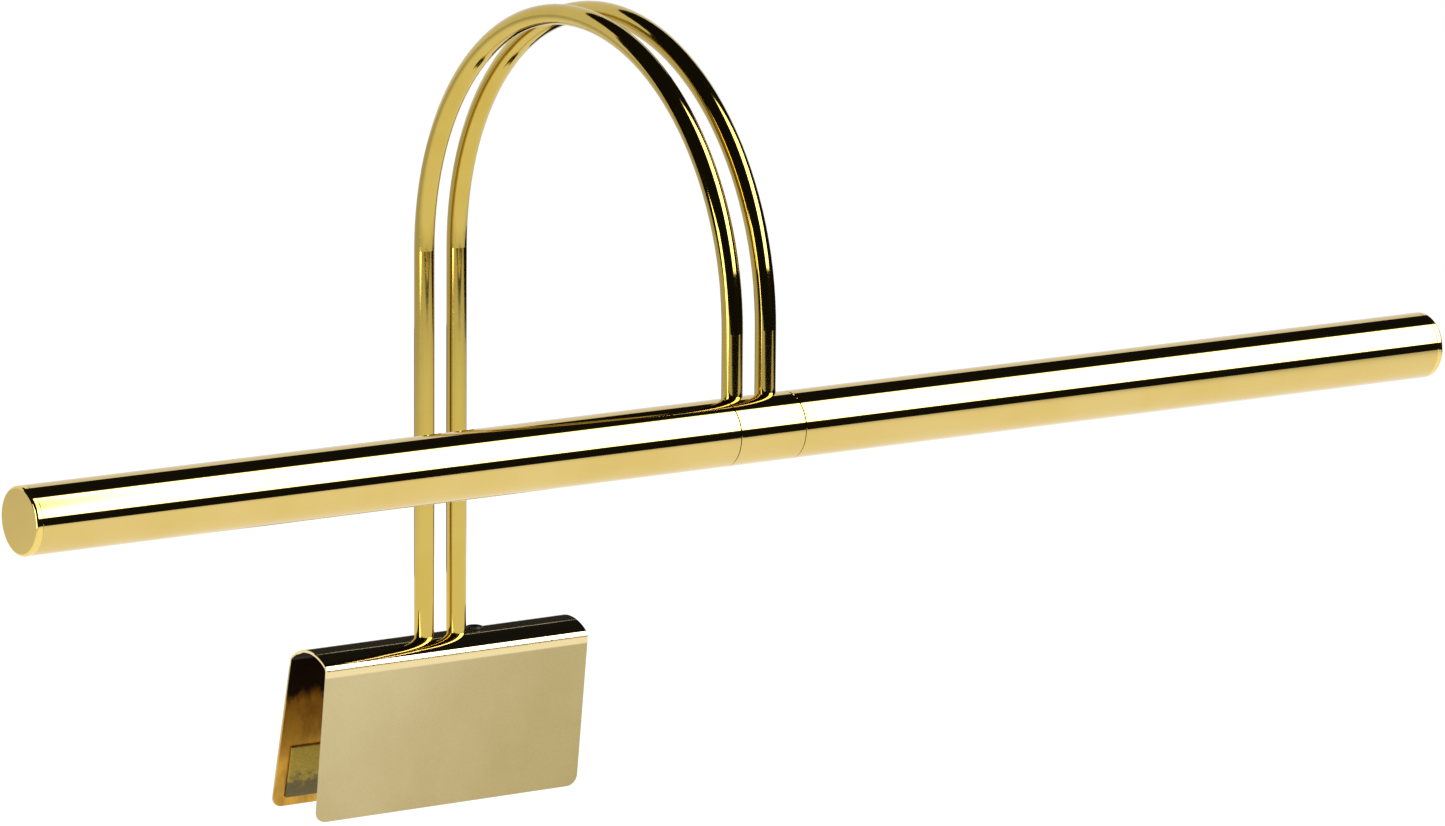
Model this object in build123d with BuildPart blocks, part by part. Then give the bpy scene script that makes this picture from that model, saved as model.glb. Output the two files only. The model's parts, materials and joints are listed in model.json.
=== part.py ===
from build123d import *
import os
from math import cos, radians, sin

# Clip-on picture and music-desk light in polished brass.
#
# A folded sheet clip sits over the top edge of an upright panel. Two bent tubes
# rise from it, arch forward and carry a round bar: a short fixed hub with a slotted
# shade tube on each side. Each shade turns about the bar's axis on the hub's spigot,
# round a fixed lampholder and its tubular lamp.
#
# Frame: origin at the middle of the seat that rests on the panel's top edge,
# +X along the bar, +Y to the back (away from the bar), +Z up. Millimetres.

os.makedirs("parts", exist_ok=True)

# ---------------------------------------------------------------- driving dimensions
BAR_LENGTH = 635.0
BAR_RADIUS = 12.7
REACH = 215.0  # bar axis to the plane of the arms' rear legs
HUB_LENGTH = 29.0
SEAM = 0.3  # running gap between the hub and each shade
EDGE = 0.15  # edge break beside a seam

ARM_RADIUS = 3.97
ARM_BORE_RADIUS = 2.97
ARM_PITCH = 15.0  # between the two arms
ARM_SETBACK = 4.3  # arms enter the hub this far behind the bar axis
SPRING_HEIGHT = 36.3  # from the bar axis up to where the arch begins

CLIP_WIDTH = 122.0
CLIP_SHEET = 1.2
CLIP_HALF_DEPTH = 13.5  # outside, at the shoulders
CROWN_HEIGHT = 20.0  # inside of the crown above the seat
CROWN_RISE = 5.1  # crown above the shoulders
SHOULDER_RADIUS = 3.0
LEG_BOTTOM = -46.7
FRONT_LEAN = 7.3  # degrees, both legs run backwards as they go down
REAR_LEAN = 13.1
CLIP_CORNER_RADIUS = 4.5

BAR_AXIS_HEIGHT = CROWN_HEIGHT + 118.0
SHADE_WALL = 0.8
SLOT_ANGLE = -45.0  # the light slot faces down and back; measured from +Y towards +Z
SLOT_WIDTH = 16.6
TURN_DOWN = 60.0  # how far each shade turns towards the front
TURN_UP = 45.0  # and towards the back

HAIRLINE = 0.02  # gap left between glued or pressed faces
CLEARANCE = 0.05  # gap left between assembled faces

# ---------------------------------------------------------------- worked out from them
BAR_Y = -REACH
BAR_Z = BAR_AXIS_HEIGHT
ARM_FRONT_Y = BAR_Y + ARM_SETBACK
ARCH_RADIUS = (0.0 - ARM_FRONT_Y) / 2
SPRING_Z = BAR_Z + SPRING_HEIGHT
HALF_HUB = HUB_LENGTH / 2
HALF_BAR = BAR_LENGTH / 2
SHADE_BORE = BAR_RADIUS - SHADE_WALL
CROWN_TOP = CROWN_HEIGHT + CLIP_SHEET
SHOULDER_Z = CROWN_TOP - CROWN_RISE

SIDES = ((-1, "left"), (1, "right"))
BAR_AXIS = Axis((0, BAR_Y, BAR_Z), (1, 0, 0))


def save(piece, label):
    """Names a finished piece and writes its STEP file."""
    piece.label = label
    export_step(piece, f"parts/{label}.step")


def cross_plane(x):
    """Cross-section of the bar at x: local x runs to the back, local y up."""
    return Plane(origin=(x, BAR_Y, BAR_Z), x_dir=(0, 1, 0), z_dir=(1, 0, 0))


def turning_plane(side):
    """Half-section for turned pieces: local x runs outwards along the bar, local y is the radius."""
    return Plane(origin=(0, BAR_Y, BAR_Z), x_dir=(side, 0, 0), z_dir=(0, -side, 0))


def radial_plane(angle):
    """Plane through the bar axis at an angle from +Y towards +Z: local x is +X, local y the radius."""
    a = radians(angle)
    return Plane(origin=(0, BAR_Y, BAR_Z), x_dir=(1, 0, 0), z_dir=(0, -sin(a), cos(a)))


def ring_outline(start, end, inner, outer, edge=0.0):
    """Half-section points of a plain ring, its outer edges broken by edge."""
    if edge == 0.0:
        return ((start, inner), (start, outer), (end, outer), (end, inner))
    return (
        (start, inner),
        (start, outer - edge),
        (start + edge, outer),
        (end - edge, outer),
        (end, outer - edge),
        (end, inner),
    )


# ================================================================= the clip
FRONT_FALL = SHOULDER_Z - LEG_BOTTOM


def leg_point(lean, shoulder_y, down, inset):
    """Point on a leg: down its slope from the shoulder, and in from its outer face.

    A positive inset moves backwards, as from the front leg's outer face to its inner one.
    """
    a = radians(lean)
    return (
        shoulder_y + down * sin(a) + inset * cos(a),
        SHOULDER_Z - down * cos(a) + inset * sin(a),
    )


SHEET_OVERRUN = 12.0  # the folded sheet is made long and trimmed to LEG_BOTTOM
FRONT_RUN = FRONT_FALL / cos(radians(FRONT_LEAN))
REAR_RUN = FRONT_FALL / cos(radians(REAR_LEAN))
CORD_HOLE_X = 16.0
CORD_HOLE_RADIUS = 2.8
ARM_HOLE_RADIUS = ARM_RADIUS + 0.03
ARM_SPOTS = (-ARM_PITCH / 2, ARM_PITCH / 2)
SHEET_EDGE = 0.2

with BuildPart() as clip_saddle:
    with BuildSketch(Plane.YZ.offset(-CLIP_WIDTH / 2)) as fold:
        with BuildLine():
            front_foot = leg_point(FRONT_LEAN, -CLIP_HALF_DEPTH, FRONT_RUN + SHEET_OVERRUN, 0)
            rear_foot = leg_point(REAR_LEAN, CLIP_HALF_DEPTH, REAR_RUN + SHEET_OVERRUN, 0)
            front_shoulder = (-CLIP_HALF_DEPTH, SHOULDER_Z)
            rear_shoulder = (CLIP_HALF_DEPTH, SHOULDER_Z)
            Line(front_foot, front_shoulder)
            ThreePointArc(front_shoulder, (0, CROWN_TOP), rear_shoulder)
            Line(rear_shoulder, rear_foot)
            Line(rear_foot, front_foot)
        make_face()
        fillet(fold.vertices().group_by(Axis.Z)[-1], SHOULDER_RADIUS)
        offset(amount=-CLIP_SHEET, mode=Mode.SUBTRACT)
    extrude(amount=CLIP_WIDTH)
    leg_plate_height = CROWN_TOP - LEG_BOTTOM + SHEET_OVERRUN
    with BuildSketch(Plane.XZ.offset(-2 * CLIP_HALF_DEPTH - CLIP_WIDTH)) as plate:
        with Locations((0, LEG_BOTTOM + leg_plate_height / 2)):
            Rectangle(CLIP_WIDTH, leg_plate_height)
        fillet(plate.vertices().group_by(Axis.Z)[0], CLIP_CORNER_RADIUS)
    extrude(amount=2 * (2 * CLIP_HALF_DEPTH + CLIP_WIDTH), mode=Mode.INTERSECT)
    with BuildSketch(Plane.XY.offset(SHOULDER_Z)):
        with Locations(*((x, 0) for x in ARM_SPOTS)):
            Circle(ARM_HOLE_RADIUS)
        with Locations((CORD_HOLE_X, 0)):
            Circle(CORD_HOLE_RADIUS)
    extrude(amount=CROWN_RISE + CLIP_SHEET, mode=Mode.SUBTRACT)
    sheet_ends = clip_saddle.faces().filter_by(Axis.X).sort_by(Axis.X)
    chamfer(sheet_ends[0].edges() + sheet_ends[-1].edges(), SHEET_EDGE)
save(clip_saddle.part, "clip_saddle")

# Felt liners, glued inside the legs near their lower edges.
LINER_THICKNESS = 1.0
LINER_LENGTH = 112.0
LINER_HEIGHT = 22.0
LINER_LIFT = 4.0  # above the leg's lower edge

for label, lean, shoulder_y, run, inward in (
    ("clip_liner_front", FRONT_LEAN, -CLIP_HALF_DEPTH, FRONT_RUN, 1),
    ("clip_liner_rear", REAR_LEAN, CLIP_HALF_DEPTH, REAR_RUN, -1),
):
    glued = inward * (CLIP_SHEET + HAIRLINE)
    free = inward * (CLIP_SHEET + LINER_THICKNESS)
    low = run - LINER_LIFT
    high = low - LINER_HEIGHT
    with BuildPart() as liner:
        with BuildSketch(Plane.YZ.offset(-LINER_LENGTH / 2)):
            with BuildLine():
                Polyline(
                    leg_point(lean, shoulder_y, low, glued),
                    leg_point(lean, shoulder_y, high, glued),
                    leg_point(lean, shoulder_y, high, free),
                    leg_point(lean, shoulder_y, low, free),
                    close=True,
                )
            make_face()
        extrude(amount=LINER_LENGTH)
    save(liner.part, label)

# ================================================================= junction under the crown
BLOCK_LENGTH = 62.0
BLOCK_HALF_WIDTH = 10.0
SEAT_PAD_THICKNESS = 1.5
COVER_THICKNESS = 1.5
COVER_TOP = SEAT_PAD_THICKNESS + COVER_THICKNESS
CHAMBER_LENGTH = 50.0
CHAMBER_WIDTH = 16.0
CHAMBER_CORNER = 2.0
CHAMBER_ROOF = 12.0
CROWN_CLEARANCE = 0.15
COVER_SCREW_X = 28.0
COVER_SCREW_RADIUS = 1.2
COVER_SCREW_HEAD = 2.3
COVER_SCREW_TIP = 9.0
COVER_SCREW_POINT = 1.0
COVER_SCREW_SLOT = 0.6  # width and depth
BLOCK_EDGE_Z = CROWN_HEIGHT - 3.9  # top of the block at its long edges

with BuildPart() as junction_block:
    with BuildSketch(Plane.YZ.offset(-BLOCK_LENGTH / 2)):
        with BuildLine():
            Polyline(
                (-BLOCK_HALF_WIDTH, BLOCK_EDGE_Z),
                (-BLOCK_HALF_WIDTH, COVER_TOP),
                (BLOCK_HALF_WIDTH, COVER_TOP),
                (BLOCK_HALF_WIDTH, BLOCK_EDGE_Z),
            )
            ThreePointArc(
                (-BLOCK_HALF_WIDTH, BLOCK_EDGE_Z),
                (0, CROWN_HEIGHT - CROWN_CLEARANCE),
                (BLOCK_HALF_WIDTH, BLOCK_EDGE_Z),
            )
        make_face()
    extrude(amount=BLOCK_LENGTH)
    with BuildSketch(Plane.XY.offset(COVER_TOP)):
        RectangleRounded(CHAMBER_LENGTH, CHAMBER_WIDTH, CHAMBER_CORNER)
    extrude(amount=CHAMBER_ROOF - COVER_TOP, mode=Mode.SUBTRACT)
    with BuildSketch(Plane.XY.offset(COVER_TOP)):
        with Locations(*((x, 0) for x in ARM_SPOTS)):
            Circle(ARM_HOLE_RADIUS)
        with Locations((CORD_HOLE_X, 0)):
            Circle(CORD_HOLE_RADIUS)
    extrude(amount=CROWN_HEIGHT, mode=Mode.SUBTRACT)
    with BuildSketch(Plane.XY.offset(COVER_TOP)):
        with Locations((-COVER_SCREW_X, 0), (COVER_SCREW_X, 0)):
            Circle(COVER_SCREW_RADIUS)
    extrude(amount=COVER_SCREW_TIP - COVER_TOP, mode=Mode.SUBTRACT)
save(junction_block.part, "junction_block")

with BuildPart() as junction_cover:
    with BuildSketch(Plane.XY.offset(SEAT_PAD_THICKNESS)):
        Rectangle(BLOCK_LENGTH, 2 * BLOCK_HALF_WIDTH)
    extrude(amount=COVER_THICKNESS)
    with Locations(Plane.XY.offset(SEAT_PAD_THICKNESS)):
        with Locations((-COVER_SCREW_X, 0), (COVER_SCREW_X, 0)):
            Cone(
                COVER_SCREW_HEAD,
                COVER_SCREW_RADIUS,
                COVER_THICKNESS,
                align=(Align.CENTER, Align.CENTER, Align.MIN),
                mode=Mode.SUBTRACT,
            )
save(junction_cover.part, "junction_cover")

with BuildPart() as cover_screws:
    for x in (-COVER_SCREW_X, COVER_SCREW_X):
        with BuildSketch(Plane(origin=(x, 0, 0), x_dir=(1, 0, 0), z_dir=(0, -1, 0))):
            with BuildLine():
                Polyline(
                    (0, SEAT_PAD_THICKNESS),
                    (COVER_SCREW_HEAD, SEAT_PAD_THICKNESS),
                    (COVER_SCREW_RADIUS, COVER_TOP),
                    (COVER_SCREW_RADIUS, COVER_SCREW_TIP - COVER_SCREW_POINT),
                    (COVER_SCREW_RADIUS / 2, COVER_SCREW_TIP),
                    (0, COVER_SCREW_TIP),
                    close=True,
                )
            make_face()
        revolve(axis=Axis((x, 0, 0), (0, 0, 1)))
        with BuildSketch(Plane.XY.offset(SEAT_PAD_THICKNESS)):
            with Locations((x, 0)):
                Rectangle(2 * COVER_SCREW_HEAD, COVER_SCREW_SLOT)
        extrude(amount=COVER_SCREW_SLOT, mode=Mode.SUBTRACT)
save(cover_screws.part, "cover_screws")

SEAT_PAD_INSET = 0.5
SEAT_PAD_CORNER = 1.5

with BuildPart() as seat_pad:
    with BuildSketch():
        RectangleRounded(BLOCK_LENGTH, 2 * (BLOCK_HALF_WIDTH - SEAT_PAD_INSET), SEAT_PAD_CORNER)
    extrude(amount=SEAT_PAD_THICKNESS)
save(seat_pad.part, "seat_pad")

# Hexagon nuts on the arms' threaded feet pull the block up against the crown.
NUT_ACROSS_FLATS = 11.0
NUT_HEIGHT = 3.0
NUT_CHAMFER = 0.4
ARM_FOOT_Z = 8.2

with BuildPart() as arm_nuts:
    with BuildSketch(Plane.XY.offset(CHAMBER_ROOF - NUT_HEIGHT)):
        with Locations(*((x, 0) for x in ARM_SPOTS)):
            RegularPolygon(NUT_ACROSS_FLATS / 2, 6, major_radius=False, rotation=30)
            Circle(ARM_HOLE_RADIUS, mode=Mode.SUBTRACT)
    extrude(amount=NUT_HEIGHT)
    nut_edges = arm_nuts.faces().sort_by(Axis.Z)[:2].edges().filter_by(GeomType.LINE)
    chamfer(nut_edges, NUT_CHAMFER)
save(arm_nuts.part, "arm_nuts")

BUSHING_FLANGE_RADIUS = 3.4
BUSHING_FLANGE = 0.9
BUSHING_BORE = 1.9
BUSHING_BARREL = CORD_HOLE_RADIUS - CLEARANCE
BUSHING_BOTTOM = CHAMBER_ROOF - 0.5
BUSHING_TOP = CROWN_TOP + CLEARANCE + BUSHING_FLANGE

with BuildPart() as cord_bushing:
    with BuildSketch(Plane(origin=(CORD_HOLE_X, 0, 0), x_dir=(1, 0, 0), z_dir=(0, -1, 0))):
        with BuildLine():
            Polyline(
                (BUSHING_BORE, BUSHING_BOTTOM),
                (BUSHING_BARREL, BUSHING_BOTTOM),
                (BUSHING_BARREL, BUSHING_TOP - BUSHING_FLANGE),
                (BUSHING_FLANGE_RADIUS, BUSHING_TOP - BUSHING_FLANGE),
                (BUSHING_FLANGE_RADIUS, BUSHING_TOP - BUSHING_FLANGE / 2),
                (BUSHING_FLANGE_RADIUS - BUSHING_FLANGE / 2, BUSHING_TOP),
                (BUSHING_BORE, BUSHING_TOP),
                close=True,
            )
        make_face()
    revolve(axis=Axis((CORD_HOLE_X, 0, 0), (0, 0, 1)))
save(cord_bushing.part, "cord_bushing")

WIRE_RADIUS = 0.8
WIRE_OFFSET = 1.0  # each of a pair, either side of the arm's centre line
TERMINAL_LENGTH = 30.0
TERMINAL_WIDTH = 10.0
TERMINAL_CORNER = 1.0
TERMINAL_TOP = COVER_TOP + 3.6
TERMINAL_ROW_Y = 3.0
TERMINAL_SPOTS = tuple((x, TERMINAL_ROW_Y) for x in (-11.0, -4.0, 4.0, 11.0))
TERMINAL_HOLE_RADIUS = 0.8
TERMINAL_HOLE_DEPTH = 2.0
TERMINAL_SHANK_RADIUS = 0.75
TERMINAL_SHANK = 1.8
TERMINAL_HEAD_RADIUS = 1.5
TERMINAL_HEAD = 0.8
TERMINAL_SLOT = 0.4  # width and depth
WIRE_START = TERMINAL_TOP + CLEARANCE

with BuildPart() as terminal_block:
    with BuildSketch(Plane.XY.offset(COVER_TOP)):
        RectangleRounded(TERMINAL_LENGTH, TERMINAL_WIDTH, TERMINAL_CORNER)
    extrude(amount=TERMINAL_TOP - COVER_TOP)
    with BuildSketch(Plane.XY.offset(TERMINAL_TOP)):
        with Locations(*TERMINAL_SPOTS):
            Circle(TERMINAL_HOLE_RADIUS)
    extrude(amount=-TERMINAL_HOLE_DEPTH, mode=Mode.SUBTRACT)
save(terminal_block.part, "terminal_block")

with BuildPart() as terminal_screws:
    with BuildSketch(Plane.XY.offset(TERMINAL_TOP - TERMINAL_SHANK)):
        with Locations(*TERMINAL_SPOTS):
            Circle(TERMINAL_SHANK_RADIUS)
    extrude(amount=TERMINAL_SHANK)
    with BuildSketch(Plane.XY.offset(TERMINAL_TOP)):
        with Locations(*TERMINAL_SPOTS):
            Circle(TERMINAL_HEAD_RADIUS)
    extrude(amount=TERMINAL_HEAD)
    with BuildSketch(Plane.XY.offset(TERMINAL_TOP + TERMINAL_HEAD)):
        with Locations(*TERMINAL_SPOTS):
            Rectangle(2 * TERMINAL_HEAD_RADIUS, TERMINAL_SLOT)
    extrude(amount=-TERMINAL_SLOT, mode=Mode.SUBTRACT)
save(terminal_screws.part, "terminal_screws")

# ================================================================= the arms
ARM_HEAD_Z = BAR_Z + 2.0  # where each arm ends inside the hub

for side, name in SIDES:
    x = side * ARM_PITCH / 2
    with BuildPart() as arm:
        with BuildLine(Plane.YZ.offset(x)) as bend:
            Line((0, ARM_FOOT_Z), (0, SPRING_Z))
            ThreePointArc(
                (0, SPRING_Z),
                (-ARCH_RADIUS, SPRING_Z + ARCH_RADIUS),
                (ARM_FRONT_Y, SPRING_Z),
            )
            Line((ARM_FRONT_Y, SPRING_Z), (ARM_FRONT_Y, ARM_HEAD_Z))
        with BuildSketch(Plane.XY.offset(ARM_FOOT_Z)):
            with Locations((x, 0)):
                Circle(ARM_RADIUS)
                Circle(ARM_BORE_RADIUS, mode=Mode.SUBTRACT)
        sweep(path=bend.wires()[0])
    save(arm.part, f"arm_{name}")

# ================================================================= the hub
SLEEVE_BORE = BAR_RADIUS - 1.0
CORE_RADIUS = SLEEVE_BORE - CLEARANCE
SPIGOT_RADIUS = 8.0
SPIGOT_END = 27.0
AXIAL_BORE = 5.0
GROOVE_START = 24.15
GROOVE_END = 25.25
GROOVE_RADIUS = 7.2
ARM_SOCKET_FLOOR = BAR_Z - 3.0
SET_SCREW_Z = BAR_Z + 5.5
SET_SCREW_RADIUS = 1.5
STOP_PIN_RADIUS = 0.9
STOP_PIN_CIRCLE = 9.96
STOP_PIN_ROOT = 10.5
STOP_PIN_TIP = HALF_HUB + 3.3

with BuildPart() as hub_sleeve:
    with BuildSketch(turning_plane(1)):
        with BuildLine():
            Polyline(*ring_outline(-HALF_HUB, HALF_HUB, SLEEVE_BORE, BAR_RADIUS, EDGE), close=True)
        make_face()
    revolve(axis=BAR_AXIS)
    with BuildSketch(Plane.XY.offset(BAR_Z)):
        with Locations(*((x, ARM_FRONT_Y) for x in ARM_SPOTS)):
            Circle(ARM_HOLE_RADIUS)
    extrude(amount=BAR_RADIUS, mode=Mode.SUBTRACT)
    with BuildSketch(Plane.XZ.offset(-ARM_FRONT_Y)):
        with Locations(*((x, SET_SCREW_Z) for x in ARM_SPOTS)):
            Circle(SET_SCREW_RADIUS)
    extrude(amount=-BAR_RADIUS, mode=Mode.SUBTRACT)
save(hub_sleeve.part, "hub_sleeve")

with BuildPart() as hub_core:
    with BuildSketch(turning_plane(1)):
        with BuildLine():
            Polyline(
                (0, AXIAL_BORE),
                (0, CORE_RADIUS),
                (HALF_HUB, CORE_RADIUS),
                (HALF_HUB, SPIGOT_RADIUS),
                (GROOVE_START, SPIGOT_RADIUS),
                (GROOVE_START, GROOVE_RADIUS),
                (GROOVE_END, GROOVE_RADIUS),
                (GROOVE_END, SPIGOT_RADIUS),
                (SPIGOT_END, SPIGOT_RADIUS),
                (SPIGOT_END, AXIAL_BORE),
                close=True,
            )
        make_face()
        mirror(about=Plane(origin=(0, BAR_Y, BAR_Z), x_dir=(0, 1, 0), z_dir=(1, 0, 0)))
    revolve(axis=BAR_AXIS)
    with BuildSketch(Plane.XY.offset(ARM_SOCKET_FLOOR)):
        with Locations(*((x, ARM_FRONT_Y) for x in ARM_SPOTS)):
            Circle(ARM_HOLE_RADIUS)
    extrude(amount=2 * BAR_RADIUS, mode=Mode.SUBTRACT)
    with BuildSketch(Plane.XZ.offset(-ARM_FRONT_Y)):
        with Locations(*((x, SET_SCREW_Z) for x in ARM_SPOTS)):
            Circle(SET_SCREW_RADIUS)
    extrude(amount=-BAR_RADIUS, mode=Mode.SUBTRACT)
    for side in (-1, 1):
        with BuildSketch(cross_plane(side * HALF_HUB)):
            with Locations((0, -STOP_PIN_CIRCLE)):
                Circle(STOP_PIN_RADIUS)
        extrude(amount=-side * (HALF_HUB - STOP_PIN_ROOT), mode=Mode.SUBTRACT)
save(hub_core.part, "hub_core")

SET_SCREW_TIP = ARM_FRONT_Y + ARM_RADIUS + HAIRLINE
SET_SCREW_LENGTH = 2.8
SET_SCREW_SOCKET = 0.75  # half across flats
SET_SCREW_SOCKET_DEPTH = 1.6

with BuildPart() as arm_set_screws:
    with BuildSketch(Plane.XZ.offset(-SET_SCREW_TIP)):
        with Locations(*((x, SET_SCREW_Z) for x in ARM_SPOTS)):
            Circle(SET_SCREW_RADIUS - HAIRLINE)
    extrude(amount=-SET_SCREW_LENGTH)
    with BuildSketch(Plane.XZ.offset(-SET_SCREW_TIP - SET_SCREW_LENGTH)):
        with Locations(*((x, SET_SCREW_Z) for x in ARM_SPOTS)):
            RegularPolygon(SET_SCREW_SOCKET, 6, major_radius=False)
    extrude(amount=SET_SCREW_SOCKET_DEPTH, mode=Mode.SUBTRACT)
save(arm_set_screws.part, "arm_set_screws")

# ================================================================= along the bar, each side
SHADE_START = HALF_HUB + SEAM
CAP_FLANGE = 2.6
SHADE_END = HALF_BAR - CAP_FLANGE
COLLAR_LENGTH = 8.0
COLLAR_END = SHADE_START + COLLAR_LENGTH
COLLAR_BORE = SPIGOT_RADIUS + CLEARANCE
COLLAR_RADIUS = SHADE_BORE - HAIRLINE
STOP_GROOVE_DEPTH = 4.0
STOP_GROOVE_WIDTH = 2.3
STOP_SLACK = 2.0  # degrees past each limit
WASHER_START = COLLAR_END + 2 * CLEARANCE
WASHER_END = GROOVE_START - CLEARANCE
WASHER_INNER = 8.2
WASHER_OUTER = 10.8
WASHER_THICKNESS = 0.4
RING_START = GROOVE_START + CLEARANCE
RING_THICKNESS = 1.0
RING_INNER = GROOVE_RADIUS + 0.03
RING_OUTER = 10.2
RING_GAP = 60.0  # degrees
RING_GAP_WIDTH = 2 * RING_OUTER * sin(radians(RING_GAP / 2))

SLOT_START = 34.0
SLOT_END = 296.0
SLOT_CORNER = 3.0
REFLECTOR_START = 30.0
REFLECTOR_END = 300.0
REFLECTOR_INNER = 11.25
REFLECTOR_OUTER = 11.8
REFLECTOR_ARC = 268.0  # degrees, all but the slot
REFLECTOR_MIDDLE = (REFLECTOR_START + REFLECTOR_END) / 2
REFLECTOR_LENGTH = REFLECTOR_END - REFLECTOR_START
REFLECTOR_SHEET = REFLECTOR_OUTER - REFLECTOR_INNER
CAP_EDGE_RADIUS = 1.0
CAP_PLUG_LENGTH = 9.0
CAP_PLUG_WALL = 1.0
CAP_PLUG_RADIUS = SHADE_BORE - 0.03
CAP_PLUG_START = SHADE_END - CAP_PLUG_LENGTH
CAP_DISC = 1.6

HOLDER_NECK_START = 17.0
HOLDER_START = SPIGOT_END + 0.3
HOLDER_END = 53.0
HOLDER_RADIUS = 10.3
HOLDER_NECK_RADIUS = 4.9
HOLDER_WIRE_BORE = 2.4
HOLDER_CAVITY_FLOOR = 34.0
HOLDER_CAVITY_RADIUS = 7.65
HOLDER_CHAMFER = 1.0
SHELL_START = 36.0
SHELL_END = 51.5
SHELL_INNER = 7.15
SHELL_OUTER = 7.6
LEAF_SHEET = 0.4
LEAF_FOOT = 5.0  # outer end of the part that lies on the holder's floor
LEAF_BEND = 2.4
LEAF_TIP = 1.4
LEAF_THIN = 0.3  # the slope moves the inner corners in by this much
LEAF_HALF_WIDTH = 1.5

LAMP_TIP = 36.6
LAMP_TIP_LENGTH = 0.8
LAMP_TIP_RADIUS = 1.2
LAMP_TIP_ROOT_RADIUS = 2.2
INSULATOR_START = LAMP_TIP + LAMP_TIP_LENGTH + HAIRLINE
INSULATOR_RADIUS = 2.6
INSULATOR_ROOT_RADIUS = 5.4
LEAF_LOW = HOLDER_CAVITY_FLOOR + CLEARANCE
LEAF_HIGH = LAMP_TIP - CLEARANCE
LAMP_BASE_START = 38.6
LAMP_BASE_FLOOR = 0.6
LAMP_BASE_MOUTH = 4.6
LAMP_BASE_LEAD = 1.0  # plain cone before the thread
LAMP_BASE_LEAD_FALL = 0.4
LAMP_BASE_END = 54.0
LAMP_THREAD_RADIUS = 6.95
LAMP_THREAD_ROOT = 6.5
LAMP_THREAD_PITCH = 2.8
LAMP_THREAD_TURNS = 4
LAMP_BASE_BORE = 6.15
GLASS_NECK_START = 46.0
GLASS_NECK_RADIUS = 6.1
GLASS_SHOULDER_START = 55.0
GLASS_SHOULDER_END = 60.5
GLASS_RADIUS = 10.3
GLASS_WALL = 0.8
GLASS_SHOULDER_SHIFT = 0.4  # keeps the sloping wall as thick as the tube
GLASS_DOME_START = 166.0

HAIRPIN_START = 76.0
HAIRPIN_END = 160.0
HAIRPIN_HALF = 3.5
FILAMENT_RADIUS = 0.25
LEAD_IN_RADIUS = 0.3
STEM_RADIUS = 2.6
STEM_START = GLASS_NECK_START + 0.5
STEM_FLARE = 2.5
STEM_FOOT_RADIUS = GLASS_NECK_RADIUS - GLASS_WALL - CLEARANCE
STEM_END = 68.0
LEAD_IN_START = STEM_END + CLEARANCE
LEAD_IN_STRAIGHT = 3.0
WIRE_BEND = 1.5

WIRE_END = 33.0
WIRE_TURN_X = 15.5  # where each pair has swung onto the bar's axis
WIRE_TURN_RADII = (3.0, 5.0)
WIRE_DROPS = (1.0, -1.0)

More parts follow.
